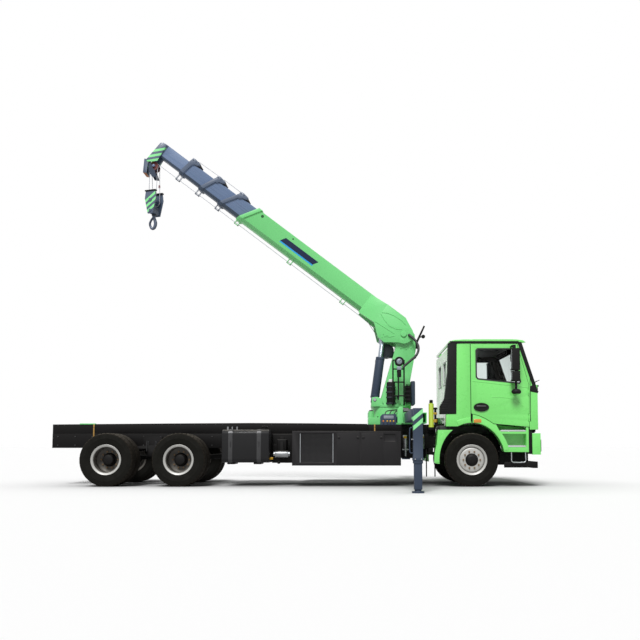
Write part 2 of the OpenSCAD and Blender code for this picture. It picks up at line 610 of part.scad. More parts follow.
// One section with the collar at its head cut on the slant; the slide pads line the collar
module sleeve(u0, u1, g, lean) difference() {
  union() {
    tube(u0, u1 - 4, g);
    intersection() {
      difference() {
        along(u1 - lean_u(lean) - 120, u1) polygon(outline(g - 26));
        along(u1 - lean_u(lean) - 121, u1 + 1) polygon(outline(g + wall + section_gap - 0.4));
      }
      side([[u1 - 90, low_v], [u1, low_v], [u1 - lean_u(lean), high_v], [u1 - lean_u(lean) - 90,
          high_v]], -300, 300);
    }
  }
  side([[u1, low_v], [u1 + 300, low_v], [u1 + 300, high_v], [u1 - lean_u(lean), high_v]], -300, 300);
}
// Arms on top of a collar with the roller that guides the extension rope
module rope_arms(u1, g, lean) let (u = u1 - lean_u(lean), v = boom_v + boom_h/2 - g,
    y = boom_w/2 - g + 26) {
  both() side([[u + 30, v - 60], [u, v + 95], [u - 60, v + 100], [u - 215, v + 75], [u - 225, v + 20],
    [u - 110, v - 10], [u - 60, v - 60]], y - 14, y);
  rod_y(u - 185, v + 46, 34, 1 - y, y - 1);
}

module boom_base() color(green) on_boom() {
  sleeve(620, base_len, 0, 31);
  for (s = [-1, 1]) scale([1, s, 1]) {
    difference() {
      side(concat([[660, 305], [180, 305]], ring(0, 0, 205, 105, 262, 10), [[230, -395], [400, -390],
          [660, -180]]),
        cheek_y, cheek_y + cheek_t);
      rod_y(0, 0, 60.3, 300, 400);
    }
    // Flare from the cheek to the box
    translate([0, 0, -180]) linear_extrude(480) polygon([[640, cheek_y], [660, cheek_y + cheek_t],
      [1080, boom_w/2 + 1], [1060, boom_w/2 - 4], [640, boom_w/2 - 4], [640, boom_w/2 + 30], [980,
          boom_w/2 + 6]]);
    box(620, 650, boom_w/2 - 2, cheek_y + 5, -180, 300);
  }
  box(230, 630, -cheek_y - 5, cheek_y + 5, 282, 305);
}
module section_2() color(slate) on_boom() {
  sleeve(700, base_len + head_step, wall + section_gap, 31);
  rope_arms(base_len + head_step, wall + section_gap, 31);
}
module section_3() color(slate) on_boom() {
  sleeve(760, base_len + 2 * head_step, 2 * (wall + section_gap), 24);
  rope_arms(base_len + 2 * head_step, 2 * (wall + section_gap), 24);
}
module section_4() color(slate) on_boom() {
  sleeve(820, base_len + 3 * head_step, 3 * (wall + section_gap), 9);
  rope_arms(base_len + 3 * head_step, 3 * (wall + section_gap), 9);
}
nose_low = boom_v - boom_h/2 + 4 * (wall + section_gap);
nose_top = boom_v + boom_h/2 - 4 * (wall + section_gap);
module section_5() color(slate) on_boom() {
  tube(880, head_u + 12, 4 * (wall + section_gap));
  // The mouth of the last section is closed by a block that carries the head plates
  box(head_u + 10, head_u + 70, -132, 132, nose_low + wall/2, nose_top - wall/2);
  for (s = [-1, 1]) scale([1, s, 1]) {
    // Head plates, and below them the sides of the rope guard
    side([[head_u + 35, nose_top - 13], [head_u + 120, nose_top - 9], [head_u + 180, nose_top - 59],
        [head_u + 200, -290],
        [head_u + 155, -321],
      [head_u - 14, -181], [head_u + 10, 0]], 130, 150);
    side([[head_u + 190, -280], [head_u + 244, -303], [head_u + 77, -566], [head_u + 10, -532],
        [head_u + 120, -330]],
      130, 148);
  }
  side([[head_u + 225, -305], [head_u + 244, -303], [head_u + 77, -566], [head_u + 10, -532],
      [head_u + 17, -518],
    [head_u + 72, -546]], -148, 148);
  // Web between the sheaves, with their shaft
  side([[head_u - 40, nose_low + 19], [head_u + 60, nose_low + 19], [head_u + 120, head_v + 10],
    [head_u + 50, head_v - 70], [head_u - 40, head_v - 70], [head_u - 70, head_v + 10]], -30, 30);
  rod_y(head_u, head_v, 28, -124, 124);
}
module head_sheaves() color("#8c2f2c") on_boom()
  for (y = [-100, 60]) difference() {
    rod_y(head_u, head_v, sheave_r, y, y + 40);
    rod_y(head_u, head_v, 28.4, y - 1, y + 41);
  }

// Hook block, hanging plumb under the head sheaves and turned a little on its falls
hang_x = pivot_x - head_u * cos(boom_angle) + head_v * sin(boom_angle);
hang_z = pivot_z + head_u * sin(boom_angle) + head_v * cos(boom_angle);
block_z = hang_z - 780;
fall_x = sheave_r + 7.3;
fall_y = 80;
module at_block() translate([hang_x, 0, block_z]) rotate([0, 0, block_twist]) children();
// A straight rope between two points
module rope(a, b, r) let (d = b - a) translate(a)
  rotate([0, atan2(sqrt(d[0] * d[0] + d[1] * d[1]), d[2]), atan2(d[1], d[0])]) cylinder(r = r,
      h = norm(d), $fn = 16);
module hoist_falls() color("#4a4d50") for (x = [-fall_x, fall_x], y = [-fall_y, fall_y])
  rope([hang_x + x * cos(block_twist) - y * sin(block_twist), x * sin(block_twist)
      + y * cos(block_twist), block_z],
    [hang_x + x, y, hang_z], 7);
module hook_block() color(slate) at_block() {
  both() side([[-117, 205], [117, 205], [139, 40], [62, -300], [-62, -300], [-139, 40]], 130, 156);
  box(-58, 58, -132, 132, -282, -190);
  for (y = [-100, 60]) rod_y(0, 0, sheave_r, y, y + 40);
  rod_y(0, 0, 25, -140, 140);
}
module hook() color("#5c6576") translate([hang_x, 0, block_z]) {
  translate([0, 0, -446]) cylinder(r = 32, h = 163.5);
  translate([0, 0, -530]) rotate([90, 120, 0]) rotate_extrude(angle = 300) translate([74, 0])
      circle(r = 27);
}

frame_rails();
crossmembers();
subframe();
front_axle();
rear_axles();
springs();
powertrain();
fuel_tank();
side_boxes();
air_service();
bumper();
underrun_bar();
wings_and_steps();
crane_base();
crane_controls();
cab_floor();
cab_body();
cab_roof();
cab_front();
cab_glass();
cab_interior();
intake_duct();
door(-1);  // door_right
door(1);  // door_left
door_glass(-1);  // door_glass_right
door_glass(1);  // door_glass_left
mirror_set(-1);  // mirror_right
mirror_set(1);  // mirror_left
knuckle(-1);  // knuckle_right
knuckle(1);  // knuckle_left
at_front(-1) tyre();  // tyre_front_right
at_front(-1) rim_front();  // rim_front_right
at_front(1) tyre();  // tyre_front_left
at_front(1) rim_front();  // rim_front_left
at_rear(mid_axle_x, -1) tyre_pair();  // tyres_mid_right
at_rear(mid_axle_x, -1) rim_twin();  // rims_mid_right
at_rear(mid_axle_x, 1) tyre_pair();  // tyres_mid_left
at_rear(mid_axle_x, 1) rim_twin();  // rims_mid_left
at_rear(rear_axle_x, -1) tyre_pair();  // tyres_rear_right
at_rear(rear_axle_x, -1) rim_twin();  // rims_rear_right
at_rear(rear_axle_x, 1) tyre_pair();  // tyres_rear_left
at_rear(rear_axle_x, 1) rim_twin();  // rims_rear_left
outrigger_beam(-1, right_beam_x);  // beam_right
outrigger_beam(1, left_beam_x);  // beam_left
outrigger_leg(-1, right_beam_x, 0);  // leg_right
outrigger_leg(1, left_beam_x, 470);  // leg_left
column();
column_fittings();
winch();
luff_barrels();
luff_rods();
boom_base();
section_2();
section_3();
section_4();
section_5();
head_sheaves();
hoist_falls();
hook_block();
hook();
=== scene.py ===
"""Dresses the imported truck-mounted crane: paint, trim, tyres, rigging and light, in metres."""
import json
import math

import bmesh
import bpy
from mathutils import Matrix, Vector


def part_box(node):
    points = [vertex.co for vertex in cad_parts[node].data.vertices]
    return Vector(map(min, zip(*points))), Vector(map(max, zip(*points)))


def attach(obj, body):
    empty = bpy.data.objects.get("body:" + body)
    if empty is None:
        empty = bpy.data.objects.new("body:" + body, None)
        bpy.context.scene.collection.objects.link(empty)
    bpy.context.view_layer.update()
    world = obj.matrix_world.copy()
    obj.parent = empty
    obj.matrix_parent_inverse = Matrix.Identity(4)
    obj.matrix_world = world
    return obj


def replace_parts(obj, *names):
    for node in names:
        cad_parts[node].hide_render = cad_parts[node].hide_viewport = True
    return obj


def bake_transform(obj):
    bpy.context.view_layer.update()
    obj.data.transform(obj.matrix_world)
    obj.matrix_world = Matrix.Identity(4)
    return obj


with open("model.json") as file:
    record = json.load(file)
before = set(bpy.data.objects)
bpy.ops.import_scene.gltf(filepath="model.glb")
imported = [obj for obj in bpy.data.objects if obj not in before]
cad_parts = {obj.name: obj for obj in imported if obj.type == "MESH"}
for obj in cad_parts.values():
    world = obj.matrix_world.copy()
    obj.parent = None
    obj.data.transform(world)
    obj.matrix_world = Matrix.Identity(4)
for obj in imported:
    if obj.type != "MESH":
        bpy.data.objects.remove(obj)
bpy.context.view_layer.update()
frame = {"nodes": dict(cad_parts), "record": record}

# The photograph's view: at hub height, some sixteen metres from the truck's right side.
# A short normal lens, aimed four degrees up, with the frame raised a little by shift.
lens = bpy.data.cameras.new("photograph_view")
lens.lens = 42.2
lens.shift_x, lens.shift_y = -0.0547, 0.115
viewpoint = bpy.data.objects.new("photograph_view", lens)
viewpoint.location = (1.30, -16.25, 0.81)
viewpoint.rotation_euler = (math.radians(94), 0, 0)
bpy.context.scene.collection.objects.link(viewpoint)
bpy.context.scene.camera = viewpoint
bpy.context.scene.view_settings.view_transform = "Standard"


# The studio: a white cyclorama sky that lights evenly, and one broad lamp above the camera.
# The sky is white to the eye, in glass and in paint, and weaker as a light.
def linear(code):
    """sRGB hex code as the linear colour that the shaders work in."""
    parts = (int(code[i:i + 2], 16) / 255 for i in (1, 3, 5))
    return (*(c / 12.92 if c <= 0.04045 else ((c + 0.055) / 1.055) ** 2.4 for c in parts), 1.0)


def add(tree, kind, sockets=None, **settings):
    """Adds one shader node, with its settings, and its inputs either linked or set."""
    made = tree.nodes.new(kind)
    for key, value in settings.items():
        setattr(made, key, value)
    for key, value in (sockets or {}).items():
        if isinstance(value, bpy.types.NodeSocket):
            tree.links.new(value, made.inputs[key])
        else:
            made.inputs[key].default_value = value
    return made


SKY_LIGHT = 0.20
sky = bpy.data.worlds.new("white_studio")
sky.use_nodes = True
sky.node_tree.nodes.clear()
path = add(sky.node_tree, "ShaderNodeLightPath")
seen = add(sky.node_tree, "ShaderNodeMath", {0: path.outputs["Is Camera Ray"],
           1: path.outputs["Is Transmission Ray"]}, operation="MAXIMUM")
shown = add(sky.node_tree, "ShaderNodeMath", {0: seen.outputs[0],
            1: path.outputs["Is Glossy Ray"]}, operation="MAXIMUM")
level = add(sky.node_tree, "ShaderNodeMapRange", {"Value": shown.outputs[0],
            "To Min": SKY_LIGHT, "To Max": 1.0})
white = add(sky.node_tree, "ShaderNodeBackground", {"Color": linear("#ffffff"),
            "Strength": level.outputs["Result"]})
add(sky.node_tree, "ShaderNodeOutputWorld", {"Surface": white.outputs[0]})
bpy.context.scene.world = sky

lamp = bpy.data.lights.new("broad_lamp", "SUN")
lamp.energy = 3.4
lamp.angle = math.radians(22)
lamp_stand = bpy.data.objects.new("broad_lamp", lamp)
lamp_stand.rotation_euler = Vector((0.12, 0.64, -0.76)).to_track_quat("-Z", "Y").to_euler()
bpy.context.scene.collection.objects.link(lamp_stand)

# The floor: one wide sheet of matt white vinyl that takes the truck's soft shadow.
# White to the eye and greyer as a reflector; it is dimmed close under the truck, as a contact shadow.
floor_mesh = bmesh.new()
bmesh.ops.create_grid(floor_mesh, x_segments=1, y_segments=1, size=400)
vinyl = bpy.data.materials.new("matt_white_vinyl")
vinyl.use_nodes = True
eye = add(vinyl.node_tree, "ShaderNodeLightPath").outputs["Is Camera Ray"]
hidden = add(vinyl.node_tree, "ShaderNodeAmbientOcclusion", {"Distance": 3.0})
dimmed = add(vinyl.node_tree, "ShaderNodeMix", {0: hidden.outputs["AO"], 6: linear("#3c3c3c"), 7: linear("#fbfbfb")},
             data_type="RGBA")
whiter = add(vinyl.node_tree, "ShaderNodeMix", {0: eye, 6: linear("#d0d0d0"), 7: dimmed.outputs[2]}, data_type="RGBA")
vinyl.node_tree.links.new(whiter.outputs[2], vinyl.node_tree.nodes["Principled BSDF"].inputs["Base Color"])
vinyl.node_tree.nodes["Principled BSDF"].inputs["Roughness"].default_value = 0.9
vinyl.node_tree.nodes["Principled BSDF"].inputs["Specular IOR Level"].default_value = 0.1
floor_sheet = bpy.data.meshes.new("floor")
floor_mesh.to_mesh(floor_sheet)
floor_mesh.free()
floor_sheet.materials.append(vinyl)
floor = bpy.data.objects.new("floor", floor_sheet)
bpy.context.scene.collection.objects.link(floor)


# Main rails, cross-members and upper frame: pressed and welded steel channels, riveted and bolted.
# Brushed-on satin black paint, slightly blotchy, dulled by dust where it faces up.
def skin(name, colour, shade, rough, coat=0.0, dust=0.25, patch=1.2, grain=0.02, relief=0.05, metal=0.0, shine=0.5):
    """A painted, moulded or cast skin: two close tones in wide patches, grain, and dust on upward faces.

    patch is the width of a tone patch and grain that of a dimple, in metres; the real dimples
    of about 3 mm are drawn coarser so that they show.
    """
    made = bpy.data.materials.new(name)
    made.use_nodes = True
    tree = made.node_tree
    shader = tree.nodes["Principled BSDF"]
    place = add(tree, "ShaderNodeTexCoord").outputs["Object"]
    tone = add(tree, "ShaderNodeTexNoise", {"Vector": place, "Scale": 1 / patch, "Detail": 4.0,
               "Roughness": 0.6})
    toned = add(tree, "ShaderNodeMix", {0: tone.outputs["Fac"], 6: linear(colour), 7: linear(shade)},
                data_type="RGBA")
    facing = add(tree, "ShaderNodeSeparateXYZ", {0: add(tree, "ShaderNodeNewGeometry").outputs["Normal"]})
    specks = add(tree, "ShaderNodeTexNoise", {"Vector": place, "Scale": 9.0, "Detail": 8.0,
                 "Roughness": 0.7})
    laid = add(tree, "ShaderNodeMath", {0: facing.outputs["Z"], 1: specks.outputs["Fac"]},
               operation="MULTIPLY", use_clamp=True)
    amount = add(tree, "ShaderNodeMapRange", {"Value": laid.outputs[0], "From Min": 0.25,
                 "From Max": 0.75, "To Max": dust})
    dust_and_shade = add(tree, "ShaderNodeMix", {0: amount.outputs["Result"], 6: toned.outputs[2],
                 7: linear("#9a948a")}, data_type="RGBA")
    gloss = add(tree, "ShaderNodeMapRange", {"Value": specks.outputs["Fac"], "From Min": 0.3,
                "From Max": 0.7, "To Min": rough * 0.85, "To Max": min(1.0, rough * 1.2)})
    dimple = add(tree, "ShaderNodeTexNoise", {"Vector": place, "Scale": 1 / grain, "Detail": 1.0})
    lifted = add(tree, "ShaderNodeBump", {"Height": dimple.outputs["Fac"], "Strength": relief,
                 "Distance": 0.002})
    tree.links.new(dust_and_shade.outputs[2], shader.inputs["Base Color"])
    tree.links.new(gloss.outputs["Result"], shader.inputs["Roughness"])
    tree.links.new(lifted.outputs["Normal"], shader.inputs["Normal"])
    shader.inputs["Metallic"].default_value = metal
    shader.inputs["Specular IOR Level"].default_value = shine
    shader.inputs["Coat Weight"].default_value = coat
    shader.inputs["Coat Roughness"].default_value = 0.08
    return made


def piece(name, bm, finish, body, smooth=32, turn_out=True):
    """Turns a bmesh into an object that rides on a body, if one is named, and takes its finish from a slot."""
    if turn_out:
        bmesh.ops.recalc_face_normals(bm, faces=bm.faces)
    mesh = bpy.data.meshes.new(name)
    bm.to_mesh(mesh)
    bm.free()
    for each in finish if isinstance(finish, (list, tuple)) else [finish]:
        mesh.materials.append(each)
    mesh.shade_smooth()
    mesh.set_sharp_from_angle(angle=math.radians(smooth))
    made = bpy.data.objects.new(name, mesh)
    bpy.context.scene.collection.objects.link(made)
    if body:
        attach(made, body)
    return made


body_of_node = {n: b for b, names in frame["record"]["behaviour"]["bodies"].items() for n in names}


def copied(node, cuts=()):
    """A merged copy of a solid's mesh, its flat faces joined and then split along cutting planes."""
    bm = bmesh.new()
    bm.from_mesh(frame["nodes"][node].data)
    bmesh.ops.remove_doubles(bm, verts=bm.verts, dist=2e-5)
    bmesh.ops.dissolve_limit(bm, angle_limit=math.radians(0.4), verts=bm.verts, edges=bm.edges)
    for point, normal in cuts:
        bmesh.ops.bisect_plane(bm, geom=bm.verts[:] + bm.edges[:] + bm.faces[:], dist=1e-5,
                               plane_co=point, plane_no=normal)
    return bm


def eased(node, finish, width, where=(), cuts=(), segments=2, angle=30):
    """A copy of a solid with its edges eased, shown in place of the sharp one.

    where lists (finish number, test) pairs: faces whose middle passes take that finish.
    """
    bm = copied(node, cuts)
    for face in bm.faces:
        face.material_index = 0
        middle = face.calc_center_median()
        for number, test in where:
            if test(middle, face.normal):
                face.material_index = number
    edges = [e for e in bm.edges if e.is_manifold and e.calc_face_angle(0) > math.radians(angle)]
    bmesh.ops.bevel(bm, geom=edges, offset=width, offset_type="OFFSET", affect="EDGES",
                    segments=segments, profile=0.5, material=-1, clamp_overlap=True)
    made = piece(node + "_skin", bm, finish, body_of_node[node], turn_out=False)
    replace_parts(made, node)
    return made


def rod(bm, a, b, r, sides=16, tip=None):
    """Adds a round bar from a to b, tapering to a tip radius if one is given."""
    a, b = Vector(a), Vector(b)
    place = Matrix.Translation((a + b) / 2) @ (b - a).to_track_quat("Z", "Y").to_matrix().to_4x4()
    bmesh.ops.create_cone(bm, cap_ends=True, segments=sides, radius1=r, radius2=r if tip is None else tip,
                          depth=(b - a).length, matrix=place)


def block(bm, low, high, rounded=0.0):
    """Adds a box between two corners, with rounded edges."""
    low, high = Vector(low), Vector(high)
    place = Matrix.LocRotScale((low + high) / 2, None, high - low)
    verts = bmesh.ops.create_cube(bm, size=1.0, matrix=place)["verts"]
    if rounded:
        bmesh.ops.bevel(bm, geom=list({e for v in verts for e in v.link_edges}), offset=rounded,
                        affect="EDGES", segments=3, profile=0.5, material=-1)


def both_sides(bm):
    """Mirrors what a bmesh holds to the other side of the centre line."""
    bmesh.ops.mirror(bm, geom=bm.verts[:] + bm.edges[:] + bm.faces[:], axis="Y", merge_dist=-1)


def outline_plate(bm, points, y0, y1, rounded=0.0):
    """Adds a plate with the given side outline in X and Z, from y0 to y1."""
    face = bm.faces.new([bm.verts.new((x, y0, z)) for x, z in points])
    grown = bmesh.ops.extrude_face_region(bm, geom=[face])["geom"]
    bmesh.ops.translate(bm, vec=(0, y1 - y0, 0), verts=[g for g in grown if isinstance(g, bmesh.types.BMVert)])
    if rounded:
        rim = {e for g in grown if isinstance(g, bmesh.types.BMFace) for e in g.edges}
        bmesh.ops.bevel(bm, geom=list(rim), offset=rounded, affect="EDGES", segments=3, profile=0.5, material=-1)


chassis_paint = skin("satin_chassis_enamel", "#131212", "#0f0e0e", 0.5, dust=0.2, shine=0.12)
zinc = skin("yellow_zinc_plate", "#a8813f", "#8a6c38", 0.45, metal=0.4, patch=0.05)
steel_bolt = skin("blackened_steel_bolt", "#4a4a4b", "#39393a", 0.4, metal=0.7, patch=0.05)
for node in ("frame_rails", "crossmembers", "subframe"):
    eased(node, chassis_paint, 0.004)
rail_low, rail_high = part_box("frame_rails")
deck_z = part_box("subframe")[1][2]
fixings = bmesh.new()
for side in (-1, 1):
    for step in range(27):
        x = rail_low[0] + 0.12 + step * 0.36
        for z in (rail_low[2] + 0.06, rail_high[2] - 0.06):
            rod(fixings, (x, side * rail_high[1], z), (x, side * (rail_high[1] + 0.011), z), 0.013, 6)
piece("rail_bolts", fixings, steel_bolt, "chassis")
clamps = bmesh.new()
for x in (-4.20, 1.715):
    for side in (-1, 1):
        y0, y1 = sorted((side * 0.430, side * 0.438))
        block(clamps, (x - 0.014, y0, rail_low[2] - 0.012), (x + 0.014, y1, deck_z + 0.006), 0.002)
        rod(clamps, (x, side * 0.430, deck_z - 0.05), (x, side * 0.446, deck_z - 0.05), 0.010, 6)
piece("deck_clamps", clamps, zinc, "chassis")
runners = bmesh.new()
outline_plate(runners, ((-5.06, deck_z - 0.004), (1.56, deck_z - 0.004), (1.56, deck_z + 0.012),
                        (0.4, deck_z + 0.026), (-0.9, deck_z + 0.032), (-2.6, deck_z + 0.022),
                        (-5.06, deck_z + 0.001)), 0.350, 0.424, 0.003)
both_sides(runners)
piece("deck_runners", runners, chassis_paint, "chassis")

# Axle beams, springs, knuckles, drive line and engine: forged, cast and rolled steel.
# Painted black with the frame, except the rougher cast grey engine and gearbox.
cast_iron = skin("cast_iron", "#3a3a3a", "#2c2c2c", 0.7, dust=0.3, grain=0.006, relief=0.3)
for node in ("front_axle", "rear_axles", "springs", "underrun_bar", "knuckle_right", "knuckle_left"):
    eased(node, chassis_paint, 0.005)
eased("powertrain", cast_iron, 0.03, segments=3)
leaves = bmesh.new()
for x, z in ((3.64, 0.535), (-2.955, 0.72)):
    for side in (-1, 1):
        y = side * (0.388 if x > 0 else 0.50)
        for near in (-0.09, 0.09):
            for far in (-0.052, 0.052):
                rod(leaves, (x + near, y + far, z - 0.02), (x + near, y + far, z + 0.20), 0.012, 10)
piece("spring_u_bolts", leaves, steel_bolt, "chassis")

# Tyres: moulded rubber with four straight grooves, notched shoulders and a bead line on the wall.
# The sides stay dark and satin; the tread that meets the road is greyer and dusty.
def lathe(bm, outline, centre, axis, steps):
    """Spins (radius, along) points round an axis through centre."""
    centre, axis = Vector(centre), Vector(axis)
    out = axis.orthogonal().normalized()
    verts = [bm.verts.new(centre + out * r + axis * along) for r, along in outline]
    edges = [bm.edges.new(pair) for pair in zip(verts, verts[1:])]
    bmesh.ops.spin(bm, geom=verts + edges, cent=centre, axis=axis, angle=math.tau, steps=steps, use_merge=True)
    bmesh.ops.remove_doubles(bm, verts=bm.verts, dist=1e-5)


TYRE_HALF = ((0.290, 0.100), (0.300, 0.112), (0.306, 0.118), (0.312, 0.116), (0.340, 0.126), (0.385, 0.138),
             (0.420, 0.1425), (0.428, 0.1455), (0.436, 0.1425), (0.470, 0.140), (0.500, 0.133), (0.514, 0.127),
             (0.526, 0.121), (0.533, 0.110), (0.535, 0.100), (0.535, 0.079), (0.521, 0.077), (0.521, 0.067),
             (0.535, 0.065), (0.535, 0.033), (0.521, 0.031), (0.521, 0.021), (0.535, 0.019))
TYRE_STEPS = 120


def tyre(bm, hub):
    """One tyre round its hub: spun outline, then every other shoulder block pressed in."""
    mirrored = [(r, -along) for r, along in reversed(TYRE_HALF)]
    lathe(bm, [*TYRE_HALF, *mirrored, TYRE_HALF[0]], hub, (0, 1, 0), TYRE_STEPS)
    notches = []
    for face in bm.faces:
        away = face.calc_center_median() - hub
        radius = math.hypot(away.x, away.z)
        if abs(away.y) < 0.16 and radius > 0.512:
            face.material_index = 1
            part = round(math.degrees(math.atan2(away.z, away.x)) * TYRE_STEPS / 360 - 0.5)
            if 0.100 < abs(away.y) and part % 3 == 0:
                notches.append(face)
    bmesh.ops.inset_region(bm, faces=notches, thickness=0.0015, depth=-0.009, use_even_offset=True)


rubber = skin("moulded_tyre_rubber", "#171613", "#12120f", 0.8, dust=0.12, patch=0.3, grain=0.004, relief=0.1,
              shine=0.1)
tread = skin("dusty_tread_rubber", "#26221c", "#1d1a16", 0.9, dust=0.4, patch=0.12, grain=0.006, relief=0.35,
             shine=0.1)
joint_at = {j["name"]: Vector(j.get("pos_m", (0, 0, 0))) for j in frame["record"]["behaviour"]["joints"]}
TWIN = 0.17
wheels = {w: ("front" in w, joint_at["spin_" + w]) for w in
          ("front_right", "front_left", "mid_right", "mid_left", "rear_right", "rear_left")}
for wheel, (single, hub) in wheels.items():
    node = ("tyre_" if single else "tyres_") + wheel
    bm = bmesh.new()
    for offset in (0,) if single else (-TWIN, TWIN):
        tyre(bm, hub + Vector((0, offset, 0)))
    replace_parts(piece(node + "_moulded", bm, (rubber, tread), body_of_node[node]), node)

# Rims and hubs: pressed steel wheels in silver lacquer on black hubs, ten brownish nuts each.
# The front discs lie flush with the rim, the outer rear ones are deeply dished.
lacquer = skin("silver_wheel_lacquer", "#b4b3af", "#a2a19d", 0.42, dust=0.1, patch=0.2, metal=0.25)
# Painted shade: a darker lacquer on the barrels, the inner twin flanges and the dished rear discs, where the wheel
# lies in shade.
dust_and_shade = skin("barrel_lacquer_painted_shade", "#67645e", "#534f4a", 0.58, dust=0.2, patch=0.15, metal=0.2)
hub_paint = skin("black_hub_paint", "#121111", "#0e0d0d", 0.5, dust=0.15, patch=0.1, shine=0.15)
nut_zinc = skin("rusted_zinc_nut", "#8b7355", "#6e5a45", 0.5, metal=0.4, patch=0.02)


def turned(bm, outline, at, out, number):
    """Adds a wheel part spun round its axle, out of (radius, distance outwards) points, in one finish."""
    before = set(bm.faces)
    lathe(bm, outline, at, (0, out, 0), 64)
    for face in bm.faces:
        if face not in before:
            face.material_index = number


FLANGE = ((0.258, -0.013), (0.268, 0.000), (0.286, 0.006), (0.300, 0.012), (0.306, 0.008), (0.302, -0.006),
          (0.290, -0.012))
for wheel, (single, hub) in wheels.items():
    node = ("rim_" if single else "rims_") + wheel
    out = -1 if hub.y < 0 else 1
    bm = bmesh.new()
    for centre in (0,) if single else (TWIN, -TWIN):
        face = -1 if centre < 0 else 1
        ring = [(r, centre + face * (0.118 + along)) for r, along in FLANGE]
        well = [(0.286, centre + face * 0.05), (0.286, centre - face * 0.10), (0.300, centre - face * 0.112),
                (0.300, centre - face * 0.120),
                (0.272, centre - face * 0.116), (0.262, centre - face * 0.10), (0.254, centre + face * 0.09)]
        turned(bm, [*ring, ring[0]], hub, out, 0 if face > 0 else 1)
        turned(bm, [ring[-1], *well, ring[0]], hub, out, 1)
    if single:
        turned(bm, ((0.256, 0.078), (0.246, 0.090), (0.226, 0.099), (0.204, 0.102), (0.126, 0.102), (0.126, 0.082),
                    (0.204, 0.080), (0.236, 0.068), (0.256, 0.060), (0.256, 0.078)), hub, out, 0)
        turned(bm, ((0, 0.138), (0.060, 0.137), (0.088, 0.131), (0.102, 0.118), (0.108, 0.110), (0.128, 0.106),
                    (0.130, 0.098), (0, 0.098)), hub, out, 2)
        seat = 0.102
    else:
        turned(bm, ((0.256, 0.062), (0.238, 0.044), (0.214, 0.034), (0.130, 0.034), (0.130, 0.008), (0.214, 0.008),
                    (0.244, 0.018), (0.256, 0.044), (0.256, 0.062)), hub, out, 1)
        turned(bm, ((0, 0.176), (0.066, 0.174), (0.096, 0.164), (0.110, 0.146), (0.116, 0.076), (0.136, 0.062),
                    (0.138, 0.030), (0, 0.030)), hub, out, 2)
        turned(bm, ((0.256, -0.050), (0.214, -0.010), (0.130, -0.010), (0.130, 0.006), (0.214, 0.006),
                    (0.256, -0.032), (0.256, -0.050)), hub, out, 1)
        seat = 0.034
    for i in range(10):
        at = hub + Vector((math.cos(i * math.tau / 10), 0, math.sin(i * math.tau / 10))) * 0.168 + Vector((0,
                out * seat, 0))
        before = set(bm.faces)
        rod(bm, at, at + Vector((0, out * 0.022, 0)), 0.019, 6)
        rod(bm, at, at + Vector((0, out * 0.034, 0)), 0.010, 10)
        for face in bm.faces:
            if face not in before:
                face.material_index = 3
    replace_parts(piece(node + "_pressed", bm, (lacquer, dust_and_shade, hub_paint, nut_zinc), body_of_node[node]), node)

# Fuel tank: pressed and welded sheet steel in black, held by two flat steel straps.
# The straps run right round over rubber strips; a screw cap sits on the top.
can_metal = skin("lacquered_aluminium_can", "#a6a8aa", "#8b8d8f", 0.35, dust=0.2, patch=0.1, metal=0.7)
tank_paint = skin("black_tank_enamel", "#1f1f20", "#1a1a1b", 0.42, coat=0.05, dust=0.45, patch=0.5, shine=0.15)
eased("fuel_tank", tank_paint, 0.006)
tank_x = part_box("fuel_tank")[0][0]
TANK_TOP = 1.138
straps = bmesh.new()
for x in (tank_x + 0.17, tank_x + 0.74):
    for grow, half in ((0.004, 0.042), (0.008, 0.030)):
        place = Matrix.LocRotScale(Vector((x, -0.88, 0.808)), None, Vector((2 * half, 0.64 + 2 * grow,
                0.66 + 2 * grow)))
        verts = bmesh.ops.create_cube(straps, size=1.0, matrix=place)["verts"]
        long_edges = {e for v in verts for e in v.link_edges if abs(e.verts[0].co.x - e.verts[1].co.x) > half}
        bmesh.ops.bevel(straps, geom=list(long_edges), offset=0.092, affect="EDGES", segments=6, profile=0.5,
                        material=-1)
    rod(straps, (x, -1.214, 0.80), (x, -1.214, 0.90), 0.010, 10)
piece("tank_straps", straps, steel_bolt, "chassis")
cap = bmesh.new()
lathe(cap, ((0, 0.052), (0.050, 0.050), (0.060, 0.040), (0.062, 0.004), (0.050, 0.0), (0, 0.0)),
      (-0.540, -0.960, 1.166), (0, 0, 1), 40)
bmesh.ops.inset_individual(cap, faces=[f for f in cap.faces if abs(f.normal.z) < 0.3], thickness=0.002, depth=-0.003)
piece("tank_cap", cap, chassis_paint, "chassis")
feet = bmesh.new()
for x in (-1.19, -0.66):
    block(feet, (x - 0.075, -1.14, 0.446), (x + 0.075, -0.70, 0.484), 0.010)
block(feet, (-0.425, -0.625, 0.462), (0.038, -0.435, 1.060), 0.012)
for x, z in ((-0.36, 0.75), (-0.22, 0.90), (-0.10, 0.78)):
    block(feet, (x - 0.05, -0.645, z - 0.16), (x + 0.05, -0.62, z + 0.10), 0.006)
piece("tank_feet_and_tray", feet, chassis_paint, "chassis")
senders = bmesh.new()
for x, r in ((-1.33, 0.022), (-1.24, 0.015), (-1.14, 0.018)):
    rod(senders, (x, -0.70, TANK_TOP), (x, -0.70, TANK_TOP + 0.072), r, 14)
piece("tank_senders", senders, can_metal, "chassis")

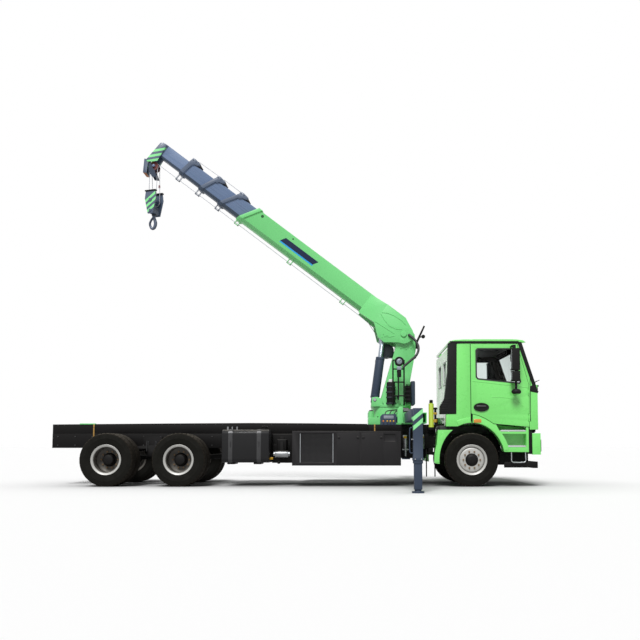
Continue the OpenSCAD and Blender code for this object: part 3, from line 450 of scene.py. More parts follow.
# Side boxes: welded sheet steel lockers in black, with hinged lids and a wire mesh bay.
# Bright rods edge the mesh; turn latches and a recessed step plate break the long side.
box_paint = skin("black_locker_enamel", "#252425", "#201f20", 0.48, dust=0.4, patch=0.6, shine=0.15)
eased("side_boxes", box_paint, 0.006)
MESH_X0, MESH_X1, MESH_Z0, MESH_Z1, MESH_Y = 0.184, 0.878, 0.480, 1.060, -1.192
mesh_bay = bmesh.new()
for i in range(1, 29):
    x = MESH_X0 + (MESH_X1 - MESH_X0) * i / 29
    rod(mesh_bay, (x, MESH_Y, MESH_Z0), (x, MESH_Y, MESH_Z1), 0.0022, 6)
for i in range(1, 25):
    z = MESH_Z0 + (MESH_Z1 - MESH_Z0) * i / 25
    rod(mesh_bay, (MESH_X0, MESH_Y - 0.003, z), (MESH_X1, MESH_Y - 0.003, z), 0.0022, 6)
piece("mesh_bay", mesh_bay, steel_bolt, "chassis")
bright_steel = skin("bright_drawn_steel", "#b9bcbf", "#9a9da0", 0.28, dust=0.1, patch=0.2, metal=0.85)
edge_rods = bmesh.new()
for x in (0.204, 0.860):
    rod(edge_rods, (x, MESH_Y - 0.010, MESH_Z0), (x, MESH_Y - 0.010, MESH_Z1), 0.009, 12)
piece("mesh_edge_rods", edge_rods, bright_steel, "chassis")
lids = bmesh.new()
for x0, x1 in ((0.935, 1.395), (1.425, 1.865)):
    block(lids, (x0, -1.207, 0.455), (x1, -1.198, 1.075), 0.004)
for x0, x1 in ((0.080, 0.600), (0.630, 1.140), (1.340, 2.180)):
    block(lids, (x0, 1.178 if x0 > 1.3 else 1.198, 0.52), (x1, 1.188 if x0 > 1.3 else 1.208, 1.05), 0.004)
block(lids, (2.31, 1.140, 0.57), (2.86, 1.160, 1.06), 0.004)
for x in (0.975, 1.355, 1.465, 1.825):
    lathe(lids, ((0, 0.018), (0.020, 0.016), (0.026, 0.004), (0.026, 0.0), (0, 0)), (x, -1.206, 0.98), (0, -1, 0), 20)
piece("locker_lids", lids, box_paint, "chassis")

# Cans, filters and reservoirs beside the frame: bare or lacquered aluminium, with yellow caps.
# The tall screen-wash bottle by the cab is blow-moulded lime polyethylene.
lime_plastic = skin("lime_polyethylene", "#bccd46", "#aebf40", 0.45, dust=0.1, patch=0.4)
yellow_plastic = skin("yellow_cap_plastic", "#d9a91c", "#c89a18", 0.4, patch=0.1)


def is_bottle(middle, normal):
    return middle.z > 1.19 and middle.x > 2.8 and middle.y < -0.43


eased("air_service", (can_metal, lime_plastic, chassis_paint), 0.006,
      where=((1, is_bottle), (2, lambda m, n: 0.69 < m.z < 1.20 and (abs(m.y) < 0.58 or m.x < 0.2 and m.y < 0))))
caps = bmesh.new()
for x, y, z, r in ((2.34, -0.62, 0.99, 0.030), (2.69, -0.62, 1.0, 0.034)):
    lathe(caps, ((0, 0.05), (r, 0.046), (r * 1.1, 0.01), (r * 1.1, 0), (0, 0)), (x, y - 0.03, z - 0.02), (0, 0, 1),
          24)
block(caps, (-0.445, -0.99, 0.535), (-0.365, -0.93, 0.585), 0.012)
piece("yellow_caps", caps, yellow_plastic, "chassis")
fittings = bmesh.new()
rod(fittings, (2.345, -0.66, 0.60), (2.345, -0.66, 0.78), 0.022, 16)
rod(fittings, (2.28, -0.66, 0.74), (2.41, -0.66, 0.74), 0.016, 14)
rod(fittings, (-0.33, -0.90, 0.65), (-0.36, -0.90, 0.65), 0.045, 20)
rod(fittings, (-0.06, -0.90, 0.65), (-0.03, -0.90, 0.65), 0.045, 20)
for y in (0.64, 0.95):
    for x in (-1.22, -0.75, -0.28):
        rod(fittings, (x - 0.025, y, 0.66), (x + 0.025, y, 0.66), 0.133, 32)
piece("valve_bodies", fittings, can_metal, "chassis")
strips = bmesh.new()
for x in (2.775, 2.950):
    block(strips, (x - 0.012, -0.70, 0.18), (x + 0.012, -0.692, 0.74), 0.002)
lathe(strips, ((0, 0.05), (0.026, 0.045), (0.03, 0.02), (0.016, 0), (0, 0)), (-0.245, -0.99, 0.50), (0, 0, -1), 20)
block(strips, (-0.30, -0.86, 0.70), (-0.10, -0.60, 0.95), 0.02)
lathe(strips, ((0, 0.045), (0.026, 0.042), (0.037, 0.030), (0.038, -0.02), (0, -0.02)), (2.900, -0.50, 1.735),
      (0, 0, 1), 24)
piece("rubber_hangers", strips, chassis_paint, "chassis")


def hose(name, points, r, finish, body):
    """A bent pipe or hose through the given points, as one round curve."""
    line = bpy.data.curves.new(name, "CURVE")
    line.dimensions = "3D"
    line.bevel_depth = r
    line.bevel_resolution = 3
    line.use_fill_caps = True
    run = line.splines.new("BEZIER")
    run.bezier_points.add(len(points) - 1)
    for knot, point in zip(run.bezier_points, points):
        knot.co = point
        knot.handle_left_type = knot.handle_right_type = "AUTO"
    line.materials.append(finish)
    made = bpy.data.objects.new(name, line)
    bpy.context.scene.collection.objects.link(made)
    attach(made, body)
    return made


hose_rubber = skin("hydraulic_hose_rubber", "#222224", "#1a1a1b", 0.55, dust=0.3, patch=0.1, grain=0.004)
for i, y in enumerate((-0.300, -0.265, -0.235)):
    hose(f"frame_pipe_{i}", [(-4.6, y, 0.80), (-2.0, y, 0.795), (0.4, y, 0.80), (2.6, y, 0.795)], 0.010,
         hose_rubber, "chassis")

# Cab shell, doors, bumper, wings and steps: pressed steel panels in gloss light green.
# Stoved enamel with a clear coat, panel edges rolled over and the gaps between them left dark.
cab_paint = skin("gloss_cab_enamel", "#78dd6e", "#72d568", 0.28, coat=0.6, dust=0.06, patch=2.0)
black_plastic = skin("grained_black_plastic", "#171717", "#121212", 0.55, dust=0.08, patch=0.4, grain=0.006,
                     relief=0.25, shine=0.15)
lining = skin("dark_cab_lining", "#2e2a26", "#24211e", 0.9, dust=0.05, patch=0.3, shine=0.1)
CAB_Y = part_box("cab_body")[1][1]


def lined(middle, normal):
    """Whether a face looks into the cab."""
    return 3.22 < middle.x < 4.93 and abs(middle.y) < CAB_Y - 0.012 and (Vector((4.05, 0,
            2.0)) - middle).dot(normal) > 0


for node, width in (("cab_body", 0.010), ("cab_roof", 0.022), ("cab_front", 0.012), ("door_right", 0.006),
                    ("door_left", 0.006), ("bumper", 0.016), ("wings_and_steps", 0.012), ("cab_floor", 0.006)):
    on_cab = "cab" in node or "door" in node
    eased(node, (cab_paint, lining) if on_cab else cab_paint, width, where=((1, lined),) if on_cab else (),
          segments=3)
cab_rear_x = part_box("cab_glass")[0][0] - 0.020

# Wheel arch lips: a flat rolled band round each front arch, pressed out of the wing.
# Three lengths on each side: front wing, the part that tilts with the cab, rear mudguard.
ARCH_X, ARCH_Z, ARCH_RX, ARCH_RZ, LIP = 3.640, 0.535, 0.655, 0.740, 0.105
for name, from_deg, to_deg, body in (("front_arch_lip", 14, 86, "chassis"), ("cab_arch_lip", 92, 114, "cab"),
                                     ("rear_arch_lip", 140, 184, "chassis")):
    bm = bmesh.new()
    steps = 24
    angles = [math.radians(from_deg + (to_deg - from_deg) * i / steps) for i in range(steps + 1)]
    inner = [(ARCH_X + ARCH_RX * math.cos(a), ARCH_Z + ARCH_RZ * math.sin(a)) for a in angles]
    outer = [(ARCH_X + (ARCH_RX + LIP) * math.cos(a), ARCH_Z + (ARCH_RZ + LIP) * math.sin(a))
             for a in reversed(angles)]
    outline_plate(bm, inner + outer, CAB_Y - 0.004, CAB_Y + 0.010, 0.005)
    both_sides(bm)
    piece(name, bm, cab_paint, body)

# Door furniture: oval handle cups, swage lines, waist mouldings and window rubbers.
# Handles are moulded black nylon in a dished cup; the rubbers are extruded round the glass.
panel_grey = skin("grey_panel_lacquer", "#8b929b", "#7d848d", 0.4, patch=0.1, metal=0.3)
window_rubber = skin("extruded_window_rubber", "#1d1d1e", "#171718", 0.6, patch=0.5)
for side, door in ((-1, "right"), (1, "left")):
    cup = bmesh.new()
    place = Matrix.Translation((3.83, side * (CAB_Y + 0.002), 1.585)) @ Matrix.Rotation(math.radians(90), 4,
            "X") @ Matrix.Diagonal((0.155, 0.088, 1, 1))
    bmesh.ops.create_circle(cup, cap_ends=True, segments=40, radius=1.0, matrix=place)
    for depth in (0.024, 0.024, 0.020):
        floor_face = max(cup.faces, key=lambda f: len(f.verts))
        bmesh.ops.inset_region(cup, faces=[floor_face], thickness=0.009)
        for v in floor_face.verts:
            v.co.y = side * (CAB_Y + depth)
    piece(f"handle_{door}", cup, black_plastic, f"{door}_door")
    grip = bmesh.new()
    block(grip, (3.730, side * (CAB_Y + 0.030) - 0.009, 1.585), (3.925, side * (CAB_Y + 0.030) + 0.009, 1.622), 0.008)
    piece(f"handle_grip_{door}", grip, steel_bolt, f"{door}_door")
    swage = bmesh.new()
    bends = [(4.04, 1.795), (4.20, 1.792), (4.36, 1.775), (4.50, 1.735), (4.60, 1.680), (4.67, 1.600)]
    for (xa, za), (xb, zb) in zip(bends, bends[1:]):
        rod(swage, (xa, side * (CAB_Y - 0.004), za), (xb, side * (CAB_Y - 0.004), zb), 0.010, 12)
    rod(swage, (3.66, side * (CAB_Y - 0.005), 2.115), (4.77, side * (CAB_Y - 0.005), 1.985), 0.011, 12)
    piece(f"swage_lines_{door}", swage, cab_paint, f"{door}_door")
    seal = copied(f"door_glass_{door}")
    flat = [f for f in seal.faces if f.normal.y * side > 0.9]
    grown = bmesh.ops.inset_region(seal, faces=flat, thickness=0.030, depth=0.0)
    bmesh.ops.delete(seal, geom=[f for f in seal.faces if f in flat or abs(f.normal.y) < 0.5
                                 or f.normal.y * side < -0.5], context="FACES")
    for v in seal.verts:
        v.co.y = side * (CAB_Y - 0.014)
    bmesh.ops.solidify(seal, geom=seal.faces[:], thickness=-0.018)
    piece(f"window_rubber_{door}", seal, window_rubber, f"{door}_door")

# Glass: flat and curved sheets of lightly tinted safety glass, bonded or in rubber.
# Tinted grey-green, faintly smeared, with clean reflections of the studio.
glass = bpy.data.materials.new("tinted_safety_glass")
glass.use_nodes = True
pane = glass.node_tree.nodes["Principled BSDF"]
spot = add(glass.node_tree, "ShaderNodeTexCoord").outputs["Object"]
smear = add(glass.node_tree, "ShaderNodeTexNoise", {"Vector": spot, "Scale": 5.0, "Detail": 6.0})
wiped = add(glass.node_tree, "ShaderNodeMapRange", {"Value": smear.outputs["Fac"], "To Min": 0.0, "To Max": 0.03})
glass.node_tree.links.new(wiped.outputs["Result"], pane.inputs["Roughness"])
pane.inputs["Base Color"].default_value = linear("#eaf0ee")
pane.inputs["Transmission Weight"].default_value = 1.0
pane.inputs["IOR"].default_value = 1.15
for node in ("cab_glass", "door_glass_right", "door_glass_left"):
    eased(node, glass, 0.001, segments=1)

# Black cab trim: drip rails, screen pillars and the cowl below the screen; black blocks fill the gap beside the
# bumper as painted shade.
# Moulded grained plastic strips, clipped on over the paint, and a green steel gutter over each rail.
# Two black steel tubes lie on the cab's tilt axis, in the gap above the bumper.
trim = bmesh.new()
block(trim, (3.215, CAB_Y - 0.006, 2.876), (4.600, CAB_Y + 0.014, 2.922), 0.006)
for x in (3.617, 4.811):
    block(trim, (x, CAB_Y - 0.03, 1.30), (x + 0.013, CAB_Y + 0.002, 2.86 if x < 4 else 2.36), 0.002)
outline_plate(trim, ((4.570, 2.905), (4.655, 2.905), (4.975, 1.905), (4.960, 1.872), (4.905, 1.890)), CAB_Y - 0.012,
              CAB_Y + 0.005, 0.003)
outline_plate(trim, ((4.822, 2.005), (4.870, 2.045), (4.925, 1.985), (4.985, 1.900), (4.968, 1.872), (4.822, 1.902)),
              CAB_Y - 0.012, CAB_Y + 0.006, 0.003)
both_sides(trim)
piece("drip_rails", trim, black_plastic, "cab")
gutter = bmesh.new()
outline_plate(gutter, ((3.230, 2.880), (3.235, 2.925), (3.290, 2.948), (3.500, 2.959), (4.560, 2.959), (4.690, 2.940),
                       (4.745, 2.900), (4.60, 2.880)), CAB_Y - 0.070, CAB_Y - 0.004, 0.010)
both_sides(gutter)
block(gutter, (3.206, -1.215, 2.872), (3.240, 1.215, 2.930), 0.010)
piece("roof_gutters", gutter, cab_paint, "cab")
cowl = copied("cab_front", [((0, 0, 1.900), (0, 0, 1))])
bmesh.ops.delete(cowl, geom=[f for f in cowl.faces if f.calc_center_median().z < 1.900
                             or f.calc_center_median().x < 4.845 or abs(f.normal.z) > 0.7], context="FACES")
for v in cowl.verts:
    v.co += Vector((0.004, math.copysign(0.004, v.co.y), 0))
piece("screen_cowl", cowl, black_plastic, "cab", turn_out=False)
lid = bmesh.new()
block(lid, (4.86, -CAB_Y + 0.07, 2.006), (5.010, CAB_Y - 0.07, 2.040), 0.010)
piece("cowl_lid", lid, black_plastic, "cab")
# Painted shade: black blocks in the gap beside the bumper and behind it, where only shade shows.
gap = bmesh.new()
block(gap, (4.768, 1.02, 0.66), (4.850, CAB_Y - 0.035, 1.15), 0.006)
both_sides(gap)
block(gap, (4.305, -0.60, 0.440), (4.880, -0.55, 0.800), 0.008)
block(gap, (4.305, 0.55, 0.440), (4.880, 0.60, 0.800), 0.008)
piece("bumper_gap_shade_blocks", gap, black_plastic, "chassis")
tubes = bmesh.new()
for side in (-1, 1):
    lathe(tubes, ((0, 0.25), (0.030, 0.25), (0.045, 0.238), (0.045, -0.238), (0.030, -0.25), (0, -0.25)),
          (4.925, side * 0.75, 1.120), (0, side, 0), 28)
piece("tilt_tubes", tubes, black_plastic, "cab")

# Front of the cab: black grille with five slats, wipers, lamps in the bumper and amber side markers.
# The nose panel is steel; grille and lamp rims are moulded, lenses are clear acrylic.
grille = bmesh.new()
block(grille, (5.006, -0.86, 1.235), (5.028, 0.86, 1.735), 0.012)
for i in range(5):
    block(grille, (5.024, -0.82, 1.275 + i * 0.092), (5.040, 0.82, 1.325 + i * 0.092), 0.007)
piece("nose_grille", grille, black_plastic, "cab")
wipers = bmesh.new()
for y in (-0.75, -0.02, 0.72):
    rod(wipers, (5.000, y, 2.030), (4.985, y, 2.075), 0.014, 12)
    rod(wipers, (4.984, y, 2.070), (4.962, y - 0.40, 2.120), 0.008, 8)
    rod(wipers, (4.958, y - 0.08, 2.100), (4.956, y - 0.66, 2.115), 0.007, 8)
piece("wipers", wipers, black_plastic, "cab")
acrylic = skin("clear_lamp_acrylic", "#d7dde0", "#c8ced2", 0.08, coat=1.0, dust=0.0, patch=0.05, metal=0.6)
amber = skin("amber_lens", "#cf8410", "#c0780d", 0.2, coat=1.0, dust=0.0, patch=0.05)
lamps = bmesh.new()
for low, high in (((5.010, 0.70, 0.72), (5.070, 1.06, 0.92)), ((5.010, 0.60, 0.66), (5.072, 0.72, 0.70))):
    block(lamps, low, high, 0.022)
both_sides(lamps)
piece("bumper_lamps", lamps, acrylic, "chassis")
rims = bmesh.new()
block(rims, (5.000, 0.675, 0.695), (5.060, 1.090, 0.945), 0.016)
both_sides(rims)
piece("lamp_rims", rims, black_plastic, "chassis")
markers = bmesh.new()
block(markers, (3.675, CAB_Y - 0.01, 1.275), (3.830, CAB_Y + 0.016, 1.350), 0.010)
both_sides(markers)
piece("side_markers", markers, amber, "chassis")

# Steps: grey treads with raised grips inside the green step units, and a bright wire rung below.
# The treads are punched steel sheet; the rung is one bent bar hung from the unit's underside.
tread_plate = skin("punched_tread_steel", "#c3c6c8", "#b2b5b7", 0.5, dust=0.15, patch=0.2, metal=0.2)
treads = bmesh.new()
for z, x0 in ((1.100, 4.21), (0.790, 4.335)):
    block(treads, (x0, CAB_Y - 0.225, z), (4.715, CAB_Y + 0.006, z + 0.028), 0.004)
    for i in range(9):
        x = x0 + 0.04 + i * (4.675 - x0) / 9
        block(treads, (x, CAB_Y - 0.210, z + 0.026), (x + 0.014, CAB_Y - 0.010, z + 0.036), 0.003)
both_sides(treads)
piece("step_treads", treads, tread_plate, "chassis")
for side, name in ((-1, "right"), (1, "left")):
    hose(f"wire_rung_{name}", [(4.43, side * 1.19, 0.74), (4.43, side * 1.20, 0.60), (4.44, side * 1.20, 0.50),
                               (4.50, side * 1.20, 0.487),
         (4.64, side * 1.20, 0.487), (4.70, side * 1.20, 0.50), (4.71, side * 1.20, 0.60), (4.71, side * 1.19, 0.74)],
         0.011,
         bright_steel, "chassis")

# Mirrors: moulded black housings on a bent arm, with silvered glass towards the driver.
# One tall flat mirror above a wide-angle one on each door.
mirror_glass = bpy.data.materials.new("silvered_mirror_glass")
mirror_glass.use_nodes = True
silvered = mirror_glass.node_tree.nodes["Principled BSDF"]
mist = add(mirror_glass.node_tree, "ShaderNodeTexNoise", {"Vector": add(mirror_glass.node_tree,
        "ShaderNodeTexCoord").outputs["Object"], "Scale": 12.0})
breath = add(mirror_glass.node_tree, "ShaderNodeMapRange", {"Value": mist.outputs["Fac"], "To Min": 0.01,
        "To Max": 0.07})
mirror_glass.node_tree.links.new(breath.outputs["Result"], silvered.inputs["Roughness"])
silvered.inputs["Base Color"].default_value = linear("#dfe4e6")
silvered.inputs["Metallic"].default_value = 1.0
for side, name in ((-1, "right"), (1, "left")):
    eased(f"mirror_{name}", black_plastic, 0.042, segments=5)
    kerb = bmesh.new()
    bmesh.ops.create_uvsphere(kerb, u_segments=28, v_segments=18, radius=1.0,
                              matrix=Matrix.LocRotScale((4.500, side * 1.405, 1.885), None, (0.095, 0.075, 0.062)))
    bmesh.ops.bisect_plane(kerb, geom=kerb.verts[:] + kerb.edges[:] + kerb.faces[:], plane_co=(0, 0, 1.845),
                           plane_no=(0, 0, -1), clear_outer=True)
    bmesh.ops.holes_fill(kerb, edges=kerb.edges)
    piece(f"kerb_mirror_{name}", kerb, black_plastic, f"{name}_door")
    silver = bmesh.new()
    for z0, z1 in ((2.340, 2.725), (2.118, 2.274)):
        y0, y1 = sorted((side * (CAB_Y + 0.108), side * (CAB_Y + 0.232)))
        block(silver, (4.404, y0, z0), (4.412, y1, z1), 0.003)
    piece(f"mirror_glass_{name}", silver, mirror_glass, f"{name}_door")

# Air intake cover: black moulded duct round the right rear corner, with a ribbed foot.
# Blow-moulded polyethylene; the ribs let the foot give when the cab settles on the frame.
eased("intake_duct", black_plastic, 0.008, segments=3)
ribs = bmesh.new()
for i in range(9):
    z = 1.475 + i * 0.034
    back = 3.006 if z < 1.60 else 3.006 + (z - 1.60) * 0.6
    block(ribs, (back, -CAB_Y - 0.018, z), (back + 0.145, -CAB_Y + 0.20, z + 0.016), 0.006)
piece("duct_ribs", ribs, black_plastic, "cab")
frames = bmesh.new()
for y in (-0.70, 0.20):
    for low, high in (((0, -0.03, 2.09), (0, 0.53, 2.125)), ((0, -0.03, 2.555), (0, 0.53, 2.59)),
                      ((0, -0.03, 2.10), (0, 0.005, 2.58)), ((0, 0.495, 2.10), (0, 0.53, 2.58))):
        block(frames, (cab_rear_x - 0.012, y + low[1], low[2]), (cab_rear_x + 0.02, y + high[1], high[2]), 0.005)
white_paint = skin("white_window_enamel", "#e4e6e4", "#dadcda", 0.4, dust=0.1)
piece("rear_window_frames", frames, white_paint, "cab")

# Cab inside: two sprung seats, dash and steering wheel on a dark floor and dark wall trim.
# Cushions are foam under woven cloth; the dash is grained moulding, the wheel a rubbered ring.
cloth = bpy.data.materials.new("woven_seat_cloth")
cloth.use_nodes = True
weave_tree = cloth.node_tree
weave_at = add(weave_tree, "ShaderNodeTexCoord").outputs["Object"]
# Threads of 2 mm are drawn 8 mm apart so that they show.
warp = add(weave_tree, "ShaderNodeTexWave", {"Vector": weave_at, "Scale": 1 / 0.05}, bands_direction="Y")
weft = add(weave_tree, "ShaderNodeTexWave", {"Vector": weave_at, "Scale": 1 / 0.05}, bands_direction="Z")
woven = add(weave_tree, "ShaderNodeMath", {0: warp.outputs["Fac"], 1: weft.outputs["Fac"]}, operation="MULTIPLY")
threads = add(weave_tree, "ShaderNodeMix", {0: woven.outputs[0], 6: linear("#26272b"), 7: linear("#3a3c42")},
              data_type="RGBA")
nap = add(weave_tree, "ShaderNodeBump", {"Height": woven.outputs[0], "Strength": 0.3, "Distance": 0.002})
weave_tree.links.new(threads.outputs[2], weave_tree.nodes["Principled BSDF"].inputs["Base Color"])
weave_tree.links.new(nap.outputs["Normal"], weave_tree.nodes["Principled BSDF"].inputs["Normal"])
weave_tree.nodes["Principled BSDF"].inputs["Roughness"].default_value = 0.9
weave_tree.nodes["Principled BSDF"].inputs["Sheen Weight"].default_value = 0.3


def cushion(name, low, high, lean, crown):
    """A crowned pad: a box subdivided, its broad faces swollen and its sides drawn in."""
    bm = bmesh.new()
    low, high = Vector(low), Vector(high)
    middle, half = (low + high) / 2, (high - low) / 2
    bmesh.ops.create_cube(bm, size=2.0)
    bmesh.ops.subdivide_edges(bm, edges=bm.edges[:], cuts=7, use_grid_fill=True)
    thin = min(range(3), key=lambda i: half[i])
    for v in bm.verts:
        others = [i for i in range(3) if i != thin]
        swell = (1 - v.co[others[0]] ** 2) * (1 - v.co[others[1]] ** 2)
        groove = 0.10 if abs(abs(v.co.y) - 0.5) < 0.10 else 0.0
        v.co[thin] *= 0.72 + crown * swell - groove * (v.co[thin] > 0)
    bmesh.ops.transform(bm, matrix=Matrix.Translation(middle) @ Matrix.Rotation(lean, 4,
            "Y") @ Matrix.Diagonal((*half, 1)), verts=bm.verts)
    bmesh.ops.smooth_vert(bm, verts=bm.verts, factor=0.5, use_axis_x=True, use_axis_y=True, use_axis_z=True)
    made = piece(name, bm, cloth, "cab", smooth=80)
    made.modifiers.new("rounded", "SUBSURF").levels = 1
    made.modifiers["rounded"].render_levels = 1
    return made


for side, name in ((-1, "right"), (1, "left")):
    y0, y1 = sorted((side * 0.31, side * 0.79))
    cushion(f"seat_cushion_{name}", (3.60, y0, 1.665), (4.08, y1, 1.805), 0.0, 0.35)
    cushion(f"seat_back_{name}", (3.555, y0, 1.79), (3.705, y1, 2.36), math.radians(-12), 0.35)
    cushion(f"seat_head_{name}", (3.475, side * 0.55 - 0.13, 2.40), (3.575, side * 0.55 + 0.13, 2.56),
            math.radians(-8), 0.3)
inside_trim = bmesh.new()
for side in (-1, 1):
    y0, y1 = sorted((side * 0.34, side * 0.76))
    block(inside_trim, (3.63, y0, 1.346), (4.06, y1, 1.64), 0.03)
    rod(inside_trim, (3.56, side * 0.55 - 0.05, 2.33), (3.53, side * 0.55 - 0.05, 2.43), 0.008, 8)
    rod(inside_trim, (3.56, side * 0.55 + 0.05, 2.33), (3.53, side * 0.55 + 0.05, 2.43), 0.008, 8)
outline_plate(inside_trim, ((4.50, 1.346), (4.79, 1.346), (4.79, 1.965), (4.68, 1.985), (4.56, 1.985), (4.49, 1.88)),
              -CAB_Y + 0.105, CAB_Y - 0.105, 0.02)
for y in (-0.35, 0.0, 0.30, 0.80):
    lathe(inside_trim, ((0, 0.012), (0.045, 0.012), (0.055, 0.0), (0, 0)), (4.520, y, 1.925), (-0.85, 0, 0.52), 24)
wheel_at = Vector((4.40, 0.55, 1.99))
wheel_axis = Vector((math.sin(math.radians(-28)), 0, math.cos(math.radians(-28))))
rim_side = Vector((wheel_axis.z, 0, -wheel_axis.x))
for i in range(40):
    a, b = (wheel_at + (rim_side * math.cos(t) + Vector((0, 1, 0)) * math.sin(t)) * 0.215
            for t in (i * math.tau / 40, (i + 1) * math.tau / 40))
    rod(inside_trim, a, b, 0.016, 12)
for t in (0.5, 2.6, 4.71):
    rod(inside_trim, wheel_at, wheel_at + (rim_side * math.cos(t) + Vector((0, 1, 0)) * math.sin(t)) * 0.21, 0.013,
        10)
rod(inside_trim, wheel_at + wheel_axis * 0.015, wheel_at - wheel_axis * 0.20, 0.035, 20)
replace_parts(piece("dash_and_wheel", inside_trim, black_plastic, "cab"), "cab_interior")
liner = bmesh.new()
block(liner, (cab_rear_x + 0.062, -CAB_Y + 0.062, 1.350), (cab_rear_x + 0.085, CAB_Y - 0.062, 2.105), 0.004)
block(liner, (cab_rear_x + 0.062, -CAB_Y + 0.062, 2.575), (cab_rear_x + 0.085, CAB_Y - 0.062, 2.86), 0.004)
block(liner, (cab_rear_x + 0.07, -CAB_Y + 0.064, 2.862), (4.52, CAB_Y - 0.064, 2.885), 0.006)
piece("cab_liner", liner, black_plastic, "cab")

# Crane base and control boxes: welded box steel in gloss mint green, the boxes in slate.
# Levers with coloured knobs come out of each box; hydraulic pipes run from it to the beams.
crane_paint = skin("gloss_crane_enamel", "#72d07d", "#6bc776", 0.34, coat=0.3, dust=0.06, patch=1.5)
slate_paint = skin("slate_crane_enamel", "#3a4556", "#333d4c", 0.5, dust=0.12, patch=0.8, shine=0.2)
orange_plastic = skin("orange_knob_plastic", "#d8701c", "#c96416", 0.3, coat=0.4, patch=0.05)
eased("crane_base", crane_paint, 0.012, segments=3)
eased("crane_controls", slate_paint, 0.010, segments=3)
base_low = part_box("crane_base")[0]
for side, name in ((-1, "right"), (1, "left")):
    levers, orange_knobs, yellow_knobs, panel = (bmesh.new() for _ in range(4))
    for i, x in enumerate((1.865, 1.945, 2.005, 2.070)):
        foot, tip = Vector((x, side * 1.226, 1.325)), Vector((x, side * 1.282, 1.306))
        rod(levers, foot, tip, 0.005, 8)
        lathe(levers, ((0, 0.016), (0.010, 0.015), (0.017, 0.0), (0, 0)), foot, (0, side, 0), 12)
        bmesh.ops.create_uvsphere(yellow_knobs if i else orange_knobs, u_segments=14, v_segments=10, radius=0.017,
                                  matrix=Matrix.Translation(tip))
    piece(f"lever_shafts_{name}", levers, steel_bolt, "chassis")
    piece(f"orange_knobs_{name}", orange_knobs, orange_plastic, "chassis")
    piece(f"yellow_knobs_{name}", yellow_knobs, yellow_plastic, "chassis")
    y0, y1 = sorted((side * 1.228, side * 1.236))
    block(panel, (1.875, y0, 1.358), (2.075, y1, 1.418), 0.003)
    piece(f"lever_panel_{name}", panel, panel_grey, "chassis")
    for i, (x, z) in enumerate(((1.90, 1.44), (2.00, 1.45), (2.09, 1.44))):
        hose(f"control_pipe_{name}_{i}", [(x, side * 1.10, z - 0.03), (x + 0.02, side * 1.08, z + 0.05),
                                          (x + 0.10, side * 0.98, z + 0.09),
             (2.24, side * 0.88, 1.545), (2.30, side * 0.86, 1.535)], 0.011, hose_rubber, "chassis")
guard_plates, rams, base_bolts = bmesh.new(), bmesh.new(), bmesh.new()
outline_plate(guard_plates, ((2.150, 1.270), (2.262, 1.270), (2.262, 1.600), (2.190, 1.600), (2.150, 1.550)), 1.205,
              1.235, 0.008)
both_sides(guard_plates)
piece("valve_guard_plates", guard_plates, crane_paint, "chassis")
for y, x0, x1, z, r in ((0.86, 2.28, 2.40, 1.545, 0.052), (0.76, 2.31, 2.46, 1.535, 0.042),
                        (1.00, 2.30, 2.58, 1.520, 0.034)):
    rod(rams, (x0, y, z), (x1, y, z), r, 24)
    rod(rams, (x0 - 0.012, y, z), (x0 + 0.02, y, z), r * 1.15, 24)
    block(rams, ((x0 + x1) / 2 - 0.03, y - 0.03, 1.475), ((x0 + x1) / 2 + 0.03, y + 0.03, z), 0.004)
both_sides(rams)
piece("beam_valves", rams, steel_bolt, "chassis")
for side in (-1, 1):
    for x in (base_low[0] + 0.20, base_low[0] + 0.34, base_low[0] + 1.06):
        rod(base_bolts, (x, side * 0.40, deck_z + 0.148), (x, side * 0.40, deck_z + 0.172), 0.016, 6)
    lathe(base_bolts, ((0, 0.03), (0.030, 0.028), (0.042, 0.018), (0.044, 0.0), (0, 0)),
          (1.640, side * 0.370, deck_z + 0.279), (0, 0, 1), 24)
piece("base_bolts", base_bolts, steel_bolt, "chassis")

# Outriggers: box section beams and legs in slate on round feet.
# Two green stripes cross the top of each leg guide; a bent handle sits on its rear side.
def stripes(origin, across, pitch, picked):
    """Cutting planes, and a face test, for stripes of one pitch counted from an origin."""
    origin, across = Vector(origin), Vector(across).normalized()
    cuts = [(origin + across * pitch * i, across) for i in sorted({*picked, *(i + 1 for i in picked)})]
    return cuts, lambda middle: math.floor((middle - origin).dot(across) / pitch + 1e-6) in picked


stripe_paint = skin("stripe_green_enamel", "#8ae596", "#81da8d", 0.35, coat=0.3, dust=0.08)
for side, name, guide_x in ((-1, "right", 2.392), (1, "left", 2.616)):
    guide_y = side * 3.180
    cuts, in_stripe = stripes((guide_x - 0.059, 0, 1.261), (-0.643, 0, 0.766), 0.0615, (0, -2))

    def on_guide(middle, normal, guide_y=guide_y, in_stripe=in_stripe):
        return abs(middle.y - guide_y) < 0.09 and middle.z > 1.0 and abs(normal.z) < 0.5 and in_stripe(middle)

    eased(f"beam_{name}", (slate_paint, stripe_paint), 0.006, where=((1, on_guide),), cuts=cuts)
    eased(f"leg_{name}", slate_paint, 0.005)
    rear = guide_x - 0.082
    hose(f"leg_handle_{name}", [(rear + 0.004, guide_y, 1.13), (rear - 0.045, guide_y, 1.125),
                                (rear - 0.058, guide_y, 1.06), (rear - 0.058, guide_y, 0.92),
         (rear - 0.058, guide_y, 0.76), (rear - 0.045, guide_y, 0.695), (rear + 0.004, guide_y, 0.69)], 0.010,
         slate_paint, f"{name}_beam")
    studs = bmesh.new()
    for dx in (-0.055, 0.055):
        rod(studs, (guide_x + dx, guide_y + side * 0.088, 0.585), (guide_x + dx, guide_y + side * 0.104, 0.585),
            0.012, 6)
    rod(studs, (rear - 0.030, guide_y - side * 0.02, 0.925), (rear + 0.01, guide_y - side * 0.02, 0.925), 0.009, 10)
    piece(f"guide_pins_{name}", studs, bright_steel, f"{name}_beam")

